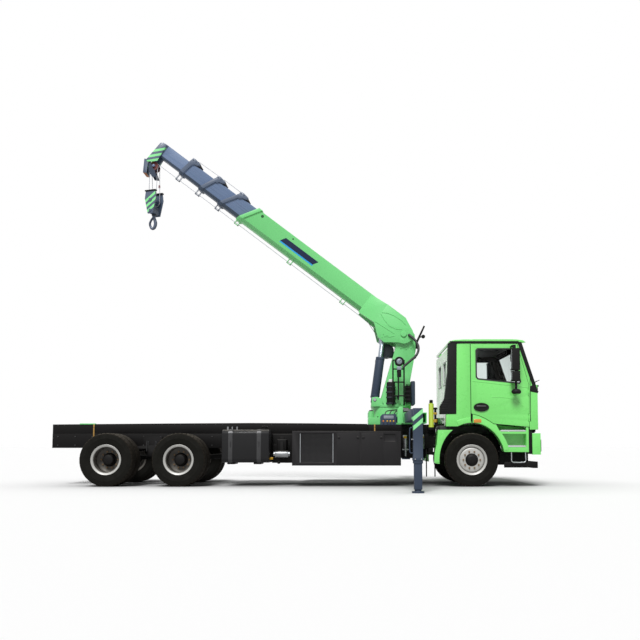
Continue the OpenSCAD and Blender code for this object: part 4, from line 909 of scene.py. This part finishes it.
# Column, its fittings and winch: welded plate in crane green, with slate and machined parts.
# A tube ladder with a dial stands on the right; the slewing drive wears a white cap.
SLEW = joint_at["slew"]
eased("column", crane_paint, 0.010, segments=3)
drum_steel = skin("greased_drum_steel", "#343a42", "#292e35", 0.4, dust=0.15, patch=0.1, metal=0.35)
eased("column_fittings", (slate_paint, black_plastic), 0.004,
      where=((1, lambda m, n: m.y < -0.60 or math.hypot(m.x - SLEW.x + 0.020, m.y + 0.405) < 0.125),))
eased("winch", drum_steel, 0.004)
dial_at = SLEW + Vector((0.140, -0.760, 0.935))
dial, bezel = bmesh.new(), bmesh.new()
lathe(dial, ((0, 0.006), (0.050, 0.006), (0.060, 0.0), (0, 0.0)), dial_at, (0, -1, 0), 40)
block(dial, dial_at + Vector((-0.050, -0.012, -0.180)), dial_at + Vector((0.045, 0.03, -0.105)), 0.008)
piece("dial_face", dial, panel_grey, "slewing")
lathe(bezel, ((0.058, 0.0), (0.066, 0.014), (0.092, 0.014), (0.098, 0.0), (0.098, -0.06), (0.058, -0.06),
              (0.058, 0.0)), dial_at, (0, -1, 0), 40)
rod(bezel, dial_at + Vector((0, -0.007, 0)), dial_at + Vector((0.035, -0.007, 0.028)), 0.004, 8)
block(bezel, dial_at + Vector((-0.045, 0.005, -0.330)), dial_at + Vector((0.040, 0.06, -0.178)), 0.015)
rod(bezel, dial_at + Vector((-0.02, 0.03, -0.33)), dial_at + Vector((-0.02, 0.03, -0.80)), 0.014, 12)
piece("dial_bezel", bezel, black_plastic, "slewing")
cap_white = bmesh.new()
drive = SLEW + Vector((-0.020, -0.405, 0))
lathe(cap_white, ((0, 0.062), (0.040, 0.058), (0.052, 0.044), (0.054, 0.0), (0, 0)), drive + Vector((0, 0, 0.530)),
      (0, 0, 1), 32)
piece("drive_cap", cap_white, white_paint, "slewing")
flanges = bmesh.new()
for z in (0.062, 0.19, 0.30, 0.41):
    lathe(flanges, ((0.088, 0.0), (0.104, 0.004), (0.104, 0.026), (0.088, 0.030), (0.088, 0.0)),
          drive + Vector((0, 0, z)), (0, 0, 1), 40)
for i in range(10):
    turn = Vector((math.cos(i * math.tau / 10), math.sin(i * math.tau / 10), 0)) * 0.096
    rod(flanges, drive + turn + Vector((0, 0, 0.088)), drive + turn + Vector((0, 0, 0.102)), 0.009, 6)
for i in range(28):
    turn = Vector((math.cos(i * math.tau / 28), math.sin(i * math.tau / 28), 0)) * 0.415
    rod(flanges, SLEW + turn + Vector((0, 0, 0.059)), SLEW + turn + Vector((0, 0, 0.078)), 0.013, 6)
piece("drive_flanges", flanges, drum_steel, "slewing")
valves = bmesh.new()
block(valves, (2.365, -0.365, 1.735), (2.485, -0.285, 2.090), 0.014)
for i in range(4):
    rod(valves, (2.395 + 0.028 * i, -0.375, 1.700), (2.395 + 0.028 * i, -0.375, 2.120), 0.010, 10)
    block(valves, (2.372, -0.385, 1.77 + i * 0.085), (2.478, -0.355, 1.81 + i * 0.085), 0.006)
piece("fan_valves", valves, black_plastic, "slewing")
fins = bmesh.new()
for i in range(22):
    y = -0.255 + i * 0.51 / 21
    block(fins, (SLEW.x + 0.494, y - 0.005, SLEW.z + 0.080), (SLEW.x + 0.505, y + 0.005, SLEW.z + 0.545))
for i in range(12):
    turn = i * math.tau / 12
    rod(fins, SLEW + Vector((0.402, 0.06 * math.cos(turn), 0.300 + 0.06 * math.sin(turn))),
        SLEW + Vector((0.402, 0.185 * math.cos(turn + 0.35), 0.300 + 0.185 * math.sin(turn + 0.35))), 0.006, 6)
piece("cooler_fins", fins, drum_steel, "slewing")
tabs = bmesh.new()
block(tabs, (2.545, -0.11, 2.710), (2.625, 0.11, 2.775), 0.010)
for y in (-0.296, 0.296):
    for dx, dz in ((-0.06, -0.02), (0.05, -0.04), (0.16, -0.02)):
        rod(tabs, (2.34 + dx, y * 0.97, 2.93 + dz), (2.34 + dx, y * 1.03, 2.93 + dz), 0.014, 12)
piece("column_tabs", tabs, crane_paint, "slewing")
stay = bmesh.new()
rod(stay, (2.590, -0.20, 2.955), (2.795, -0.20, 3.395), 0.026, 14, 0.018)
block(stay, (2.585, -0.235, 2.90), (2.665, -0.165, 3.02), 0.012)
lathe(stay, ((0, 0.040), (0.030, 0.036), (0.040, 0.020), (0.040, -0.020), (0.030, -0.036), (0, -0.040)),
      (2.770, -0.20, 3.165), (0, 1, 0), 24)
rod(stay, (2.680, -0.20, 3.145), (2.750, -0.20, 3.165), 0.012, 10)
piece("hose_stay", stay, black_plastic, "slewing")
rope_steel = bpy.data.materials.new("drawn_wire_rope")
rope_steel.use_nodes = True
lay = rope_steel.node_tree
# Strands lie 8 mm apart on the slant; drawn 20 mm apart so that they show.
strands = add(lay, "ShaderNodeTexWave", {"Vector": add(lay, "ShaderNodeTexCoord").outputs["Object"],
                                         "Scale": 1 / 0.06, "Distortion": 1.0},
              bands_direction="DIAGONAL")
wires = add(lay, "ShaderNodeMix", {0: strands.outputs["Fac"], 6: linear("#9fa3aa"), 7: linear("#c6c8ce")},
            data_type="RGBA")
twist = add(lay, "ShaderNodeBump", {"Height": strands.outputs["Fac"], "Strength": 0.5, "Distance": 0.003})
lay.links.new(wires.outputs[2], lay.nodes["Principled BSDF"].inputs["Base Color"])
lay.links.new(twist.outputs["Normal"], lay.nodes["Principled BSDF"].inputs["Normal"])
lay.nodes["Principled BSDF"].inputs["Metallic"].default_value = 0.3
lay.nodes["Principled BSDF"].inputs["Roughness"].default_value = 0.45
DRUM = Vector((SLEW.x - 0.085, 0, 2.865))
wound = bmesh.new()
for i in range(15):
    ring = [(0.124 + 0.007 * math.sin(k * math.tau / 8), 0.007 * math.cos(k * math.tau / 8)) for k in range(9)]
    lathe(wound, ring, DRUM + Vector((0, -0.105 + i * 0.015, 0)), (0, 1, 0), 40)
piece("drum_rope", wound, rope_steel, "slewing")

# Luffing cylinders: slate barrels with gland rings, hard chromed rods, pinned at both ends.
# The chrome carries a faint film of oil; glands and pin heads are bare turned steel.
chrome = bpy.data.materials.new("hard_chromed_rod")
chrome.use_nodes = True
film = add(chrome.node_tree, "ShaderNodeTexNoise", {"Vector": add(chrome.node_tree,
        "ShaderNodeTexCoord").outputs["Object"], "Scale": 14.0, "Detail": 5.0})
oiled = add(chrome.node_tree, "ShaderNodeMapRange", {"Value": film.outputs["Fac"], "To Min": 0.24, "To Max": 0.42})
chrome.node_tree.links.new(oiled.outputs["Result"], chrome.node_tree.nodes["Principled BSDF"].inputs["Roughness"])
chrome.node_tree.nodes["Principled BSDF"].inputs["Base Color"].default_value = linear("#aab4bf")
chrome.node_tree.nodes["Principled BSDF"].inputs["Metallic"].default_value = 1.0
eased("luff_barrels", slate_paint, 0.006)
eased("luff_rods", chrome, 0.004)
luff_foot = joint_at["luff_barrel_swing"]
luff_way = Vector(next(j["axis"] for j in frame["record"]["behaviour"]["joints"] if j["name"] == "luff_rod_out"))
glands, pins = bmesh.new(), bmesh.new()
for y in (-0.245, 0.245):
    foot = luff_foot + Vector((0, y, 0))
    lathe(glands, ((0.0515, 0.0), (0.093, 0.0), (0.096, 0.006), (0.096, 0.050), (0.090, 0.060), (0.0515, 0.060),
                   (0.0515, 0.0)), foot + luff_way * 0.866, luff_way, 40)
    lathe(glands, ((0.090, 0.0), (0.096, 0.004), (0.096, 0.030), (0.090, 0.034), (0.090, 0.0)),
          foot + luff_way * 0.085, luff_way, 40)
    lathe(pins, ((0, 0.016), (0.030, 0.014), (0.036, 0.006), (0.036, 0.0), (0, 0)),
          (luff_foot.x, math.copysign(0.368, y), luff_foot.z), (0, math.copysign(1, y), 0), 28)
piece("cylinder_glands", glands, slate_paint, "barrels")
piece("foot_pin_heads", pins, bright_steel, "slewing")

# Base boom: folded and welded sheet box with a flared foot, in crane green; its downward faces past the foot take a
# lighter green, painted light against their shade.
# Pressed beads stiffen the cheeks; rope guides of bent bar hang below, a plain band marks the side.
PIVOT = joint_at["luff"]
BOOM_TILT = math.radians(37.2)
ALONG = Vector((-math.cos(BOOM_TILT), 0, math.sin(BOOM_TILT)))
ACROSS = Vector((math.sin(BOOM_TILT), 0, math.cos(BOOM_TILT)))


def on_boom(u, v, y=0.0):
    """A point on the boom: u along it from its hinge, v towards its top, y to the left."""
    return PIVOT + ALONG * u + ACROSS * v + Vector((0, y, 0))


# Painted light: a lighter green on the boom's downward faces, lifting the shade there.
underside_light_green = skin("underside_painted_light_enamel", "#84e08f", "#7cd687", 0.4, coat=0.1, dust=0.05, patch=1.0)
eased("boom_base", (crane_paint, underside_light_green), 0.010, where=((1, lambda m,
        n: n.dot(ACROSS) < -0.25 and (m - PIVOT).dot(ALONG) > 0.75),), segments=3)
beads = bmesh.new()
for side in (-1, 1):
    y = side * 0.3755
    for run in (((0.700, -0.155), (0.16, -0.115)),
                ((0.690, 0.085), (0.55, 0.150), (0.40, 0.190), (0.22, 0.205), (0.085, 0.180)),
                ((0.650, 0.050), (0.50, -0.015), (0.34, -0.045), (0.20, -0.015), (0.10, 0.060)),
                ((0.300, -0.285), (0.200, -0.230), (0.13, -0.150))):
        for (ua, va), (ub, vb) in zip(run, run[1:]):
            ua, ub = min(ua, 0.655), min(ub, 0.655)
            rod(beads, on_boom(ua, va, y), on_boom(ub, vb, y), 0.008, 10)
    for du, dv in ((0, 0), (0.05, 0.02), (-0.03, 0.05), (0.03, -0.05)):
        at = on_boom(0.300 + du, -0.332 + dv + 0.05, y)
        rod(beads, at, at + Vector((0, side * 0.010, 0)), 0.014, 12)
    lathe(beads, ((0, 0.018), (0.058, 0.016), (0.070, 0.004), (0.070, -0.006), (0, -0.006)),
          on_boom(0, 0, side * 0.387), (0, side, 0), 36)
piece("boom_beads", beads, crane_paint, "boom")
# Painted shade: dark green discs on each side stand for the shade inside the holes.
hole_shade_discs = bmesh.new()
for side in (-1, 1):
    for u, v, length in ((4.02, 0.235, 0.032), (3.18, 0.240, 0.018)):
        rod(hole_shade_discs, on_boom(u, v, side * 0.178), on_boom(u, v, side * 0.182), length, 20)
piece("boom_side_holes", hole_shade_discs, skin("shaded_green_bore", "#2f5f37", "#295430", 0.5, patch=0.1, shine=0.1),
      "boom")
band_blue = skin("dark_blue_vinyl", "#1d2844", "#19233c", 0.45, patch=0.4, shine=0.15)
band_cyan = skin("bright_blue_vinyl", "#2f9fdc", "#2892cd", 0.45, patch=0.4, shine=0.2)
for name, finish, v0, v1, y in (("side_band_dark", band_blue, 0.046, 0.165, 0.1815),
                                ("side_band_edge", band_cyan, 0.016, 0.046, 0.1815)):
    bm = bmesh.new()
    for side in (-1, 1):
        corners = [on_boom(u, v, side * y) for u, v in ((3.39, v0), (2.50, v0), (2.50 - (v1 - v0) * 0.6, v1),
                                                        (3.39 - (v1 - v0) * 0.6, v1))]
        face = bm.faces.new([bm.verts.new(c) for c in corners])
        grown = bmesh.ops.extrude_face_region(bm, geom=[face])["geom"]
        bmesh.ops.translate(bm, vec=(0, -side * 0.004, 0), verts=[g for g in grown
                if isinstance(g, bmesh.types.BMVert)])
    piece(name, bm, finish, "boom")


def rope_guide(bm, rollers, u, top):
    """Two bent bars under the boom, with rollers across their lower corners."""
    for y in (-0.104, -0.056):
        corners = [on_boom(u - 0.045, top, y), on_boom(u - 0.045, -0.240, y), on_boom(u + 0.045, -0.240, y),
                   on_boom(u + 0.045, top, y)]
        for a, b in zip(corners, corners[1:]):
            rod(bm, a, b, 0.006, 10)
    for du in (-0.045, 0.045):
        rod(rollers, on_boom(u + du, -0.238, -0.102), on_boom(u + du, -0.238, -0.058), 0.011, 14)


bars, rollers = bmesh.new(), bmesh.new()
for u, top in ((4.400, -0.140), (2.950, -0.115), (1.500, -0.115)):
    rope_guide(bars, rollers, u, top)
piece("base_rope_guides", bars, crane_paint, "boom")
piece("base_guide_rollers", rollers, black_plastic, "boom")

# Telescope sections 2 to 5: folded high-strength sheet in slate, with slide pads in the collars.
# Sliding leaves lengthwise blue and violet streaks on the sides; a darker slate on the downward faces is painted
# shade.
streaked = bpy.data.materials.new("slate_telescope_enamel")
streaked.use_nodes = True
tele = streaked.node_tree
turned = add(tele, "ShaderNodeMapping", {"Vector": add(tele, "ShaderNodeTexCoord").outputs["Object"],
                                         "Rotation": (0, BOOM_TILT, 0), "Scale": (1.6, 0.05, 0.05)},
             vector_type="TEXTURE")
scuffs = add(tele, "ShaderNodeTexNoise", {"Vector": turned.outputs[0], "Scale": 1.0, "Detail": 5.0,
                                          "Roughness": 0.65})
hues = add(tele, "ShaderNodeMix", {0: scuffs.outputs["Fac"], 6: linear("#5f7999"), 7: linear("#76829f")},
           data_type="RGBA")
long_marks = add(tele, "ShaderNodeMapping", {"Vector": add(tele, "ShaderNodeTexCoord").outputs["Object"],
                                             "Rotation": (0, BOOM_TILT, 0),
                 "Location": (0.7, 0.3, 0.1), "Scale": (0.9, 0.02, 0.02)}, vector_type="TEXTURE")
fine = add(tele, "ShaderNodeTexNoise", {"Vector": long_marks.outputs[0], "Scale": 1.0, "Detail": 3.0})
marks = add(tele, "ShaderNodeMapRange", {"Value": fine.outputs["Fac"], "From Min": 0.52, "From Max": 0.72,
                                         "To Max": 0.55})
scored = add(tele, "ShaderNodeMix", {0: marks.outputs["Result"], 6: hues.outputs[2], 7: linear("#556581")},
             data_type="RGBA")
slick = add(tele, "ShaderNodeMapRange", {"Value": scuffs.outputs["Fac"], "To Min": 0.28, "To Max": 0.5})
tele.links.new(scored.outputs[2], tele.nodes["Principled BSDF"].inputs["Base Color"])
tele.links.new(slick.outputs["Result"], tele.nodes["Principled BSDF"].inputs["Roughness"])
tele.nodes["Principled BSDF"].inputs["Specular IOR Level"].default_value = 0.3
collar_paint = skin("slate_collar_enamel", "#505d72", "#4a566a", 0.42, coat=0.1, dust=0.1, patch=0.6)
# Painted shade: a darker slate for downward faces, the middle of the head and the hook block's inner faces.
shade_slate = skin("slate_painted_shade", "#46566b", "#3f4e62", 0.4, dust=0.0, patch=0.5)
bars, rollers = {}, {}
for number, body in ((2, "second"), (3, "third"), (4, "fourth"), (5, "fifth")):
    inset = 0.016 * (number - 1)

    def on_collar(middle, normal, inset=inset):
        return abs(middle.y) > 0.188 - inset or (middle - PIVOT).dot(ACROSS) > 0.321 - inset

    where = [(1, on_collar), (2, lambda m, n: n.dot(ACROSS) < -0.25)]
    if number < 5:
        roller_u = 4.48 + 0.545 * (number - 1) - 0.496 * math.tan(math.radians((31, 24, 9)[number - 2])) - 0.185
        roller_v = 0.313 - inset + 0.046
        where.append((3, lambda m, n, at=on_boom(roller_u, roller_v): Vector((m.x - at.x, m.z - at.z)).length < 0.036
                      and abs(m.y) < 0.19))
        eased(f"section_{number}", (streaked, collar_paint, shade_slate, black_plastic), 0.004, where=where)
        bars, rollers = bmesh.new(), bmesh.new()
        rope_guide(bars, rollers, 4.40 + 0.545 * (number - 1), -0.140 + inset)
        side_y = 0.206 - inset
        for side in (-1, 1):
            for du, dv in ((-0.02, 0.060), (-0.095, 0.066), (-0.185, 0.046)):
                at = on_boom(roller_u + 0.185 + du, 0.313 - inset + dv, side * side_y)
                rod(bars, at, at + Vector((0, side * 0.009, 0)), 0.016, 12)
        piece(f"guide_bars_{number}", bars, collar_paint, body)
        piece(f"guide_rollers_{number}", rollers, black_plastic, body)
HEAD = on_boom(6.650, -0.300)
hang = joint_at["hook_plumb"]
cuts, in_stripe = stripes((-0.174 * 7.701, 0, 0.985 * 7.701), (-0.174, 0, 0.985), 0.052, (0, -2, -4))


def on_head_stripe(middle, normal):
    away = middle - PIVOT
    return abs(middle.y) > 0.128 and away.dot(ALONG) > 6.63 and away.dot(ACROSS) > -0.325 and in_stripe(middle)


guard_rust = skin("orange_primer", "#a8652e", "#96592a", 0.5, patch=0.2)
# Painted shade: the darker slate on the head's downward faces and along its middle.
eased("section_5", (streaked, collar_paint, shade_slate, stripe_paint, guard_rust), 0.004, cuts=cuts,
      where=((1, lambda m, n: (m - PIVOT).dot(ALONG) > 6.655), (2, lambda m,
              n: n.dot(ACROSS) < -0.25 and (m - PIVOT).dot(ALONG) < 6.68 or abs(m.y) < 0.031),
             (4, lambda m, n: abs(m.y) < 0.14 and n.dot(ACROSS) < -0.2 and (m - PIVOT).dot(ACROSS) < -0.38),
             (3, on_head_stripe)))

# Head sheaves and falls: dark red moulded sheaves on one shaft, and four falls of wire rope.
# The hoist rope comes along the boom's underside through the guides, in one stretch per section.
sheave_paint = skin("dark_red_sheave_nylon", "#641c1a", "#561715", 0.5, coat=0.05, dust=0.1, patch=0.1)
sheaves = bmesh.new()
for y in (-0.080, 0.080):
    lathe(sheaves, ((0.0284, -0.020), (0.046, -0.020), (0.050, -0.010), (0.068, -0.010), (0.072, -0.020),
                    (0.096, -0.020), (0.096, -0.013), (0.0805, -0.004),
                    (0.0805, 0.004), (0.096, 0.013), (0.096, 0.020), (0.072, 0.020), (0.068, 0.010), (0.050, 0.010),
                    (0.046, 0.020), (0.0284, 0.020), (0.0284, -0.020)),
          HEAD + Vector((0, y, 0)), (0, 1, 0), 48)
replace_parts(piece("grooved_head_sheaves", sheaves, sheave_paint, "fifth"), "head_sheaves")
shackle = bmesh.new()
for y in (-0.118, 0.118):
    outline_plate(shackle, [(HEAD.x + dx, HEAD.z + dz) for dx, dz in ((-0.122, 0.100), (-0.060, 0.085),
            (-0.020, -0.045), (0.030, -0.115), (0.075, -0.262), (-0.030, -0.254), (-0.095, -0.131))], y - 0.006,
            y + 0.006, 0.002)
rod(shackle, (HEAD.x + 0.040, -0.128, HEAD.z - 0.240), (HEAD.x + 0.040, 0.128, HEAD.z - 0.240), 0.010, 12)
piece("rope_keepers", shackle, slate_paint, "fifth")
ROPE_R, SHEAVE_R = 0.0065, 0.0873
BLOCK = hang - Vector((0, 0, 0.780))
block_turn = Matrix.Translation(BLOCK) @ Matrix.Rotation(math.radians(-18), 4, "Z")
falls = bmesh.new()
for x in (-SHEAVE_R, SHEAVE_R):
    for y in (-0.080, 0.080):
        rod(falls, hang + Vector((x, y, 0)), block_turn @ Vector((x, y, 0)), ROPE_R, 12)
fall_lines = piece("falls_of_rope", falls, rope_steel, None)
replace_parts(fall_lines, "hoist_falls")
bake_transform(fall_lines)


def half_turn(bm, centre, side_way, axis):
    """A rope's half turn round a sheave, from the given side."""
    across = side_way.cross(axis).to_track_quat("Z", "Y").to_matrix().to_4x4()
    made = bmesh.ops.create_circle(bm, segments=10, radius=ROPE_R,
                                   matrix=Matrix.Translation(centre + side_way * SHEAVE_R) @ across)
    edges = list({e for v in made["verts"] for e in v.link_edges})
    bmesh.ops.spin(bm, geom=made["verts"] + edges, cent=centre, axis=axis, angle=math.pi, steps=20)


over, under = bmesh.new(), bmesh.new()
for y in (-0.080, 0.080):
    half_turn(over, HEAD + Vector((0, y, 0)), Vector((-1, 0, 0)), Vector((0, 1, 0)))
    half_turn(under, block_turn @ Vector((0, y, 0)), block_turn.to_3x3() @ Vector((1, 0, 0)),
              block_turn.to_3x3() @ Vector((0, 1, 0)))
piece("rope_over_head", over, rope_steel, "falls")
piece("rope_under_block", under, rope_steel, "block")
weight = bmesh.new()
lathe(weight, ((0.010, 0.032), (0.017, 0.030), (0.020, 0.022), (0.020, -0.022), (0.017, -0.030), (0.010, -0.032)),
      (hang.x + SHEAVE_R, 0.080, 6.565), (0, 0, 1), 24)
piece("limit_weight", weight, skin("red_weight_enamel", "#a01622", "#92121d", 0.42, coat=0.2, patch=0.1), "falls")
ROPE_V, ROPE_Y = -0.2127, -0.064
stretches = (("boom", "second", 4.400, 4.945), ("second", "third", 4.945, 5.490), ("third", "fourth", 5.490, 6.035),
             ("fourth", "fifth", 6.035, 6.650))
for near, far, u0, u1 in stretches:
    line = bmesh.new()
    rod(line, on_boom(u0, ROPE_V, ROPE_Y), on_boom(u1, ROPE_V, ROPE_Y), ROPE_R, 12)
    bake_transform(piece(f"hoist_rope_{far}", line, rope_steel, None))
line = bmesh.new()
rod(line, on_boom(0.80, ROPE_V, ROPE_Y), on_boom(4.400, ROPE_V, ROPE_Y), ROPE_R, 12)
piece("hoist_rope_base", line, rope_steel, "boom")
lead = bmesh.new()
drum_exit = DRUM + Vector((-0.070, -0.030, 0.105))
rod(lead, drum_exit, on_boom(0.80, ROPE_V, ROPE_Y), ROPE_R, 12)
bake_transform(piece("hoist_rope_lead", lead, rope_steel, None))
for near, far, u0, v0, u1, v1 in (("second", "third", 4.700, 0.405, 5.250, 0.405),
                                  ("third", "fourth", 5.350, 0.400, 5.960, 0.385)):
    line = bmesh.new()
    rod(line, on_boom(u0, v0), on_boom(u1, v1), 0.006, 10)
    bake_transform(piece(f"extension_rope_{far}", line, rope_steel, None))

# Hook block and hook: flame-cut cheeks with green stripes, dark caps, and a forged hook with a latch.
# Pins show as turned heads on the cheeks; the hook is bare blue-grey forged steel.
cuts, in_stripe = stripes((-0.602 * 6.890, 0, 0.799 * 6.890), (-0.602, 0, 0.799), 0.0525, (0, -2, -4))
turn_back = block_turn.inverted()
# Painted shade: the faces between the cheeks take the darker slate.
eased("hook_block", (collar_paint, stripe_paint, shade_slate), 0.004, cuts=cuts,
      where=((2, lambda m, n: abs((turn_back @ m).y) < 0.135), (1, lambda m,
              n: abs((turn_back @ m).y) > 0.152 and in_stripe(m))))
forged = skin("forged_hook_steel", "#5c6576", "#4f5868", 0.42, dust=0.1, patch=0.15, grain=0.01, relief=0.15,
              metal=0.4)
loop_bar = bmesh.new()
rings = []
for i in range(40):
    turn = i * math.tau / 40
    drop = max(0.0, math.cos(turn))
    at = BLOCK + Vector((0.062 * math.sin(turn) * (1 - 0.5 * drop) - 0.024 * (1 - drop) ** 0.5, 0,
                         0.126 * math.cos(turn) - 0.480))
    rings.append([at, 0.031 + 0.006 * math.sin(turn) - 0.004 * drop])
for i, (at, r) in enumerate(rings):
    way = (rings[(i + 1) % 40][0] - rings[i - 1][0]).normalized()
    rise = way.cross(Vector((0, 1, 0)))
    rings[i].append([loop_bar.verts.new(at + (Vector((0, math.cos(k * math.tau / 14),
                                                      0)) + rise * math.sin(k * math.tau / 14)) * r)
                                                      for k in range(14)])
for i in range(40):
    a, b = rings[i - 1][2], rings[i][2]
    for k in range(14):
        loop_bar.faces.new((a[k - 1], a[k], b[k], b[k - 1]))
lathe(loop_bar, ((0, 0.115), (0.032, 0.115), (0.034, 0.040), (0.040, 0.020), (0.030, -0.012), (0, -0.020)),
      BLOCK + Vector((0, 0, -0.358)), (0, 0, 1), 28)
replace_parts(piece("forged_hook", loop_bar, forged, "load_hook"), "hook")
caps, cheek_pins = bmesh.new(), bmesh.new()
for side in (-1, 1):
    y0, y1 = sorted((side * 0.100, side * 0.172))
    block(caps, (-0.135, y0, 0.196), (0.135, y1, 0.224), 0.006)
    for z, r in ((0.0, 0.042), (-0.236, 0.034)):
        lathe(cheek_pins, ((0, 0.016), (r * 0.8, 0.014), (r, 0.004), (r, -0.004), (0, -0.004)), (0, side * 0.156, z),
              (0, side, 0), 28)
for bm in (caps, cheek_pins):
    bmesh.ops.transform(bm, matrix=block_turn, verts=bm.verts)
piece("block_caps", caps, black_plastic, "block")
piece("cheek_pins", cheek_pins, collar_paint, "block")
latch = bmesh.new()
eye = BLOCK + Vector((-0.030, 0, -0.480))
for y in (-0.028, 0.028):
    rod(latch, eye + Vector((-0.060, y, -0.055)), eye + Vector((-0.020, y * 0.8, 0.085)), 0.007, 10)
rod(latch, eye + Vector((-0.060, -0.034, -0.055)), eye + Vector((-0.060, 0.034, -0.055)), 0.010, 12)
lathe(latch, ((0.034, -0.02), (0.048, -0.016), (0.052, 0.0), (0.048, 0.016), (0.034, 0.02), (0.034, -0.02)),
      BLOCK + Vector((0, 0, -0.300)), (0, 0, 1), 28)
piece("hook_latch", latch, drum_steel, "load_hook")

# Hose from the boom hinge to the dial: one sleeved bundle of hydraulic hoses, free between its ends.
# It leaves a fitting on the column, loops out round its front edge and comes back to the dial.
loop = [(2.455, -0.400, 3.170), (2.545, -0.440, 3.085), (2.612, -0.475, 2.985), (2.640, -0.510, 2.880),
        (2.622, -0.548, 2.775),
        (2.560, -0.592, 2.680), (2.475, -0.638, 2.605), (2.390, -0.688, 2.530), (2.310, -0.735, 2.460)]
sleeve = hose("boom_hose", loop, 0.026, hose_rubber, "slewing")
fitting = bmesh.new()
rod(fitting, (2.440, -0.285, 3.186), (2.455, -0.402, 3.170), 0.026, 18)
lathe(fitting, ((0.016, 0.0), (0.030, 0.002), (0.030, 0.026), (0.022, 0.036), (0.016, 0.036), (0.016, 0)),
      (2.455, -0.396, 3.170), (0.36, -0.60, -0.72), 6)
block(fitting, (2.285, -0.765, 2.425), (2.335, -0.70, 2.475), 0.010)
piece("hose_fitting", fitting, steel_bolt, "slewing")

# Air line post behind the cab, and a short green strip on the deck, both bolted to the upper frame.
# The post is black moulding with five yellow plastic collars; the strip is painted steel.
post = bmesh.new()
rod(post, (2.985, -0.52, deck_z - 0.02), (2.985, -0.52, deck_z + 0.325), 0.026, 20)
lathe(post, ((0, 0.03), (0.03, 0.028), (0.048, 0.010), (0.048, -0.01), (0, -0.01)), (2.985, -0.52, deck_z + 0.325),
      (0, 0, 1), 24)
piece("line_post", post, black_plastic, "chassis")
coil = bmesh.new()
for i in range(5):
    ring = [(0.034 + 0.009 * math.cos(k * math.tau / 8), 0.009 * math.sin(k * math.tau / 8)) for k in range(9)]
    lathe(coil, ring, (2.985, -0.52, deck_z + 0.050 + i * 0.022 + (0.10 if i > 2 else 0)), (0, 0, 1), 28)
piece("line_collars", coil, yellow_plastic, "chassis")
strip = bmesh.new()
block(strip, (-4.50, -0.438, deck_z), (-4.165, -0.40, deck_z + 0.022), 0.004)
piece("deck_strip", strip, crane_paint, "chassis")
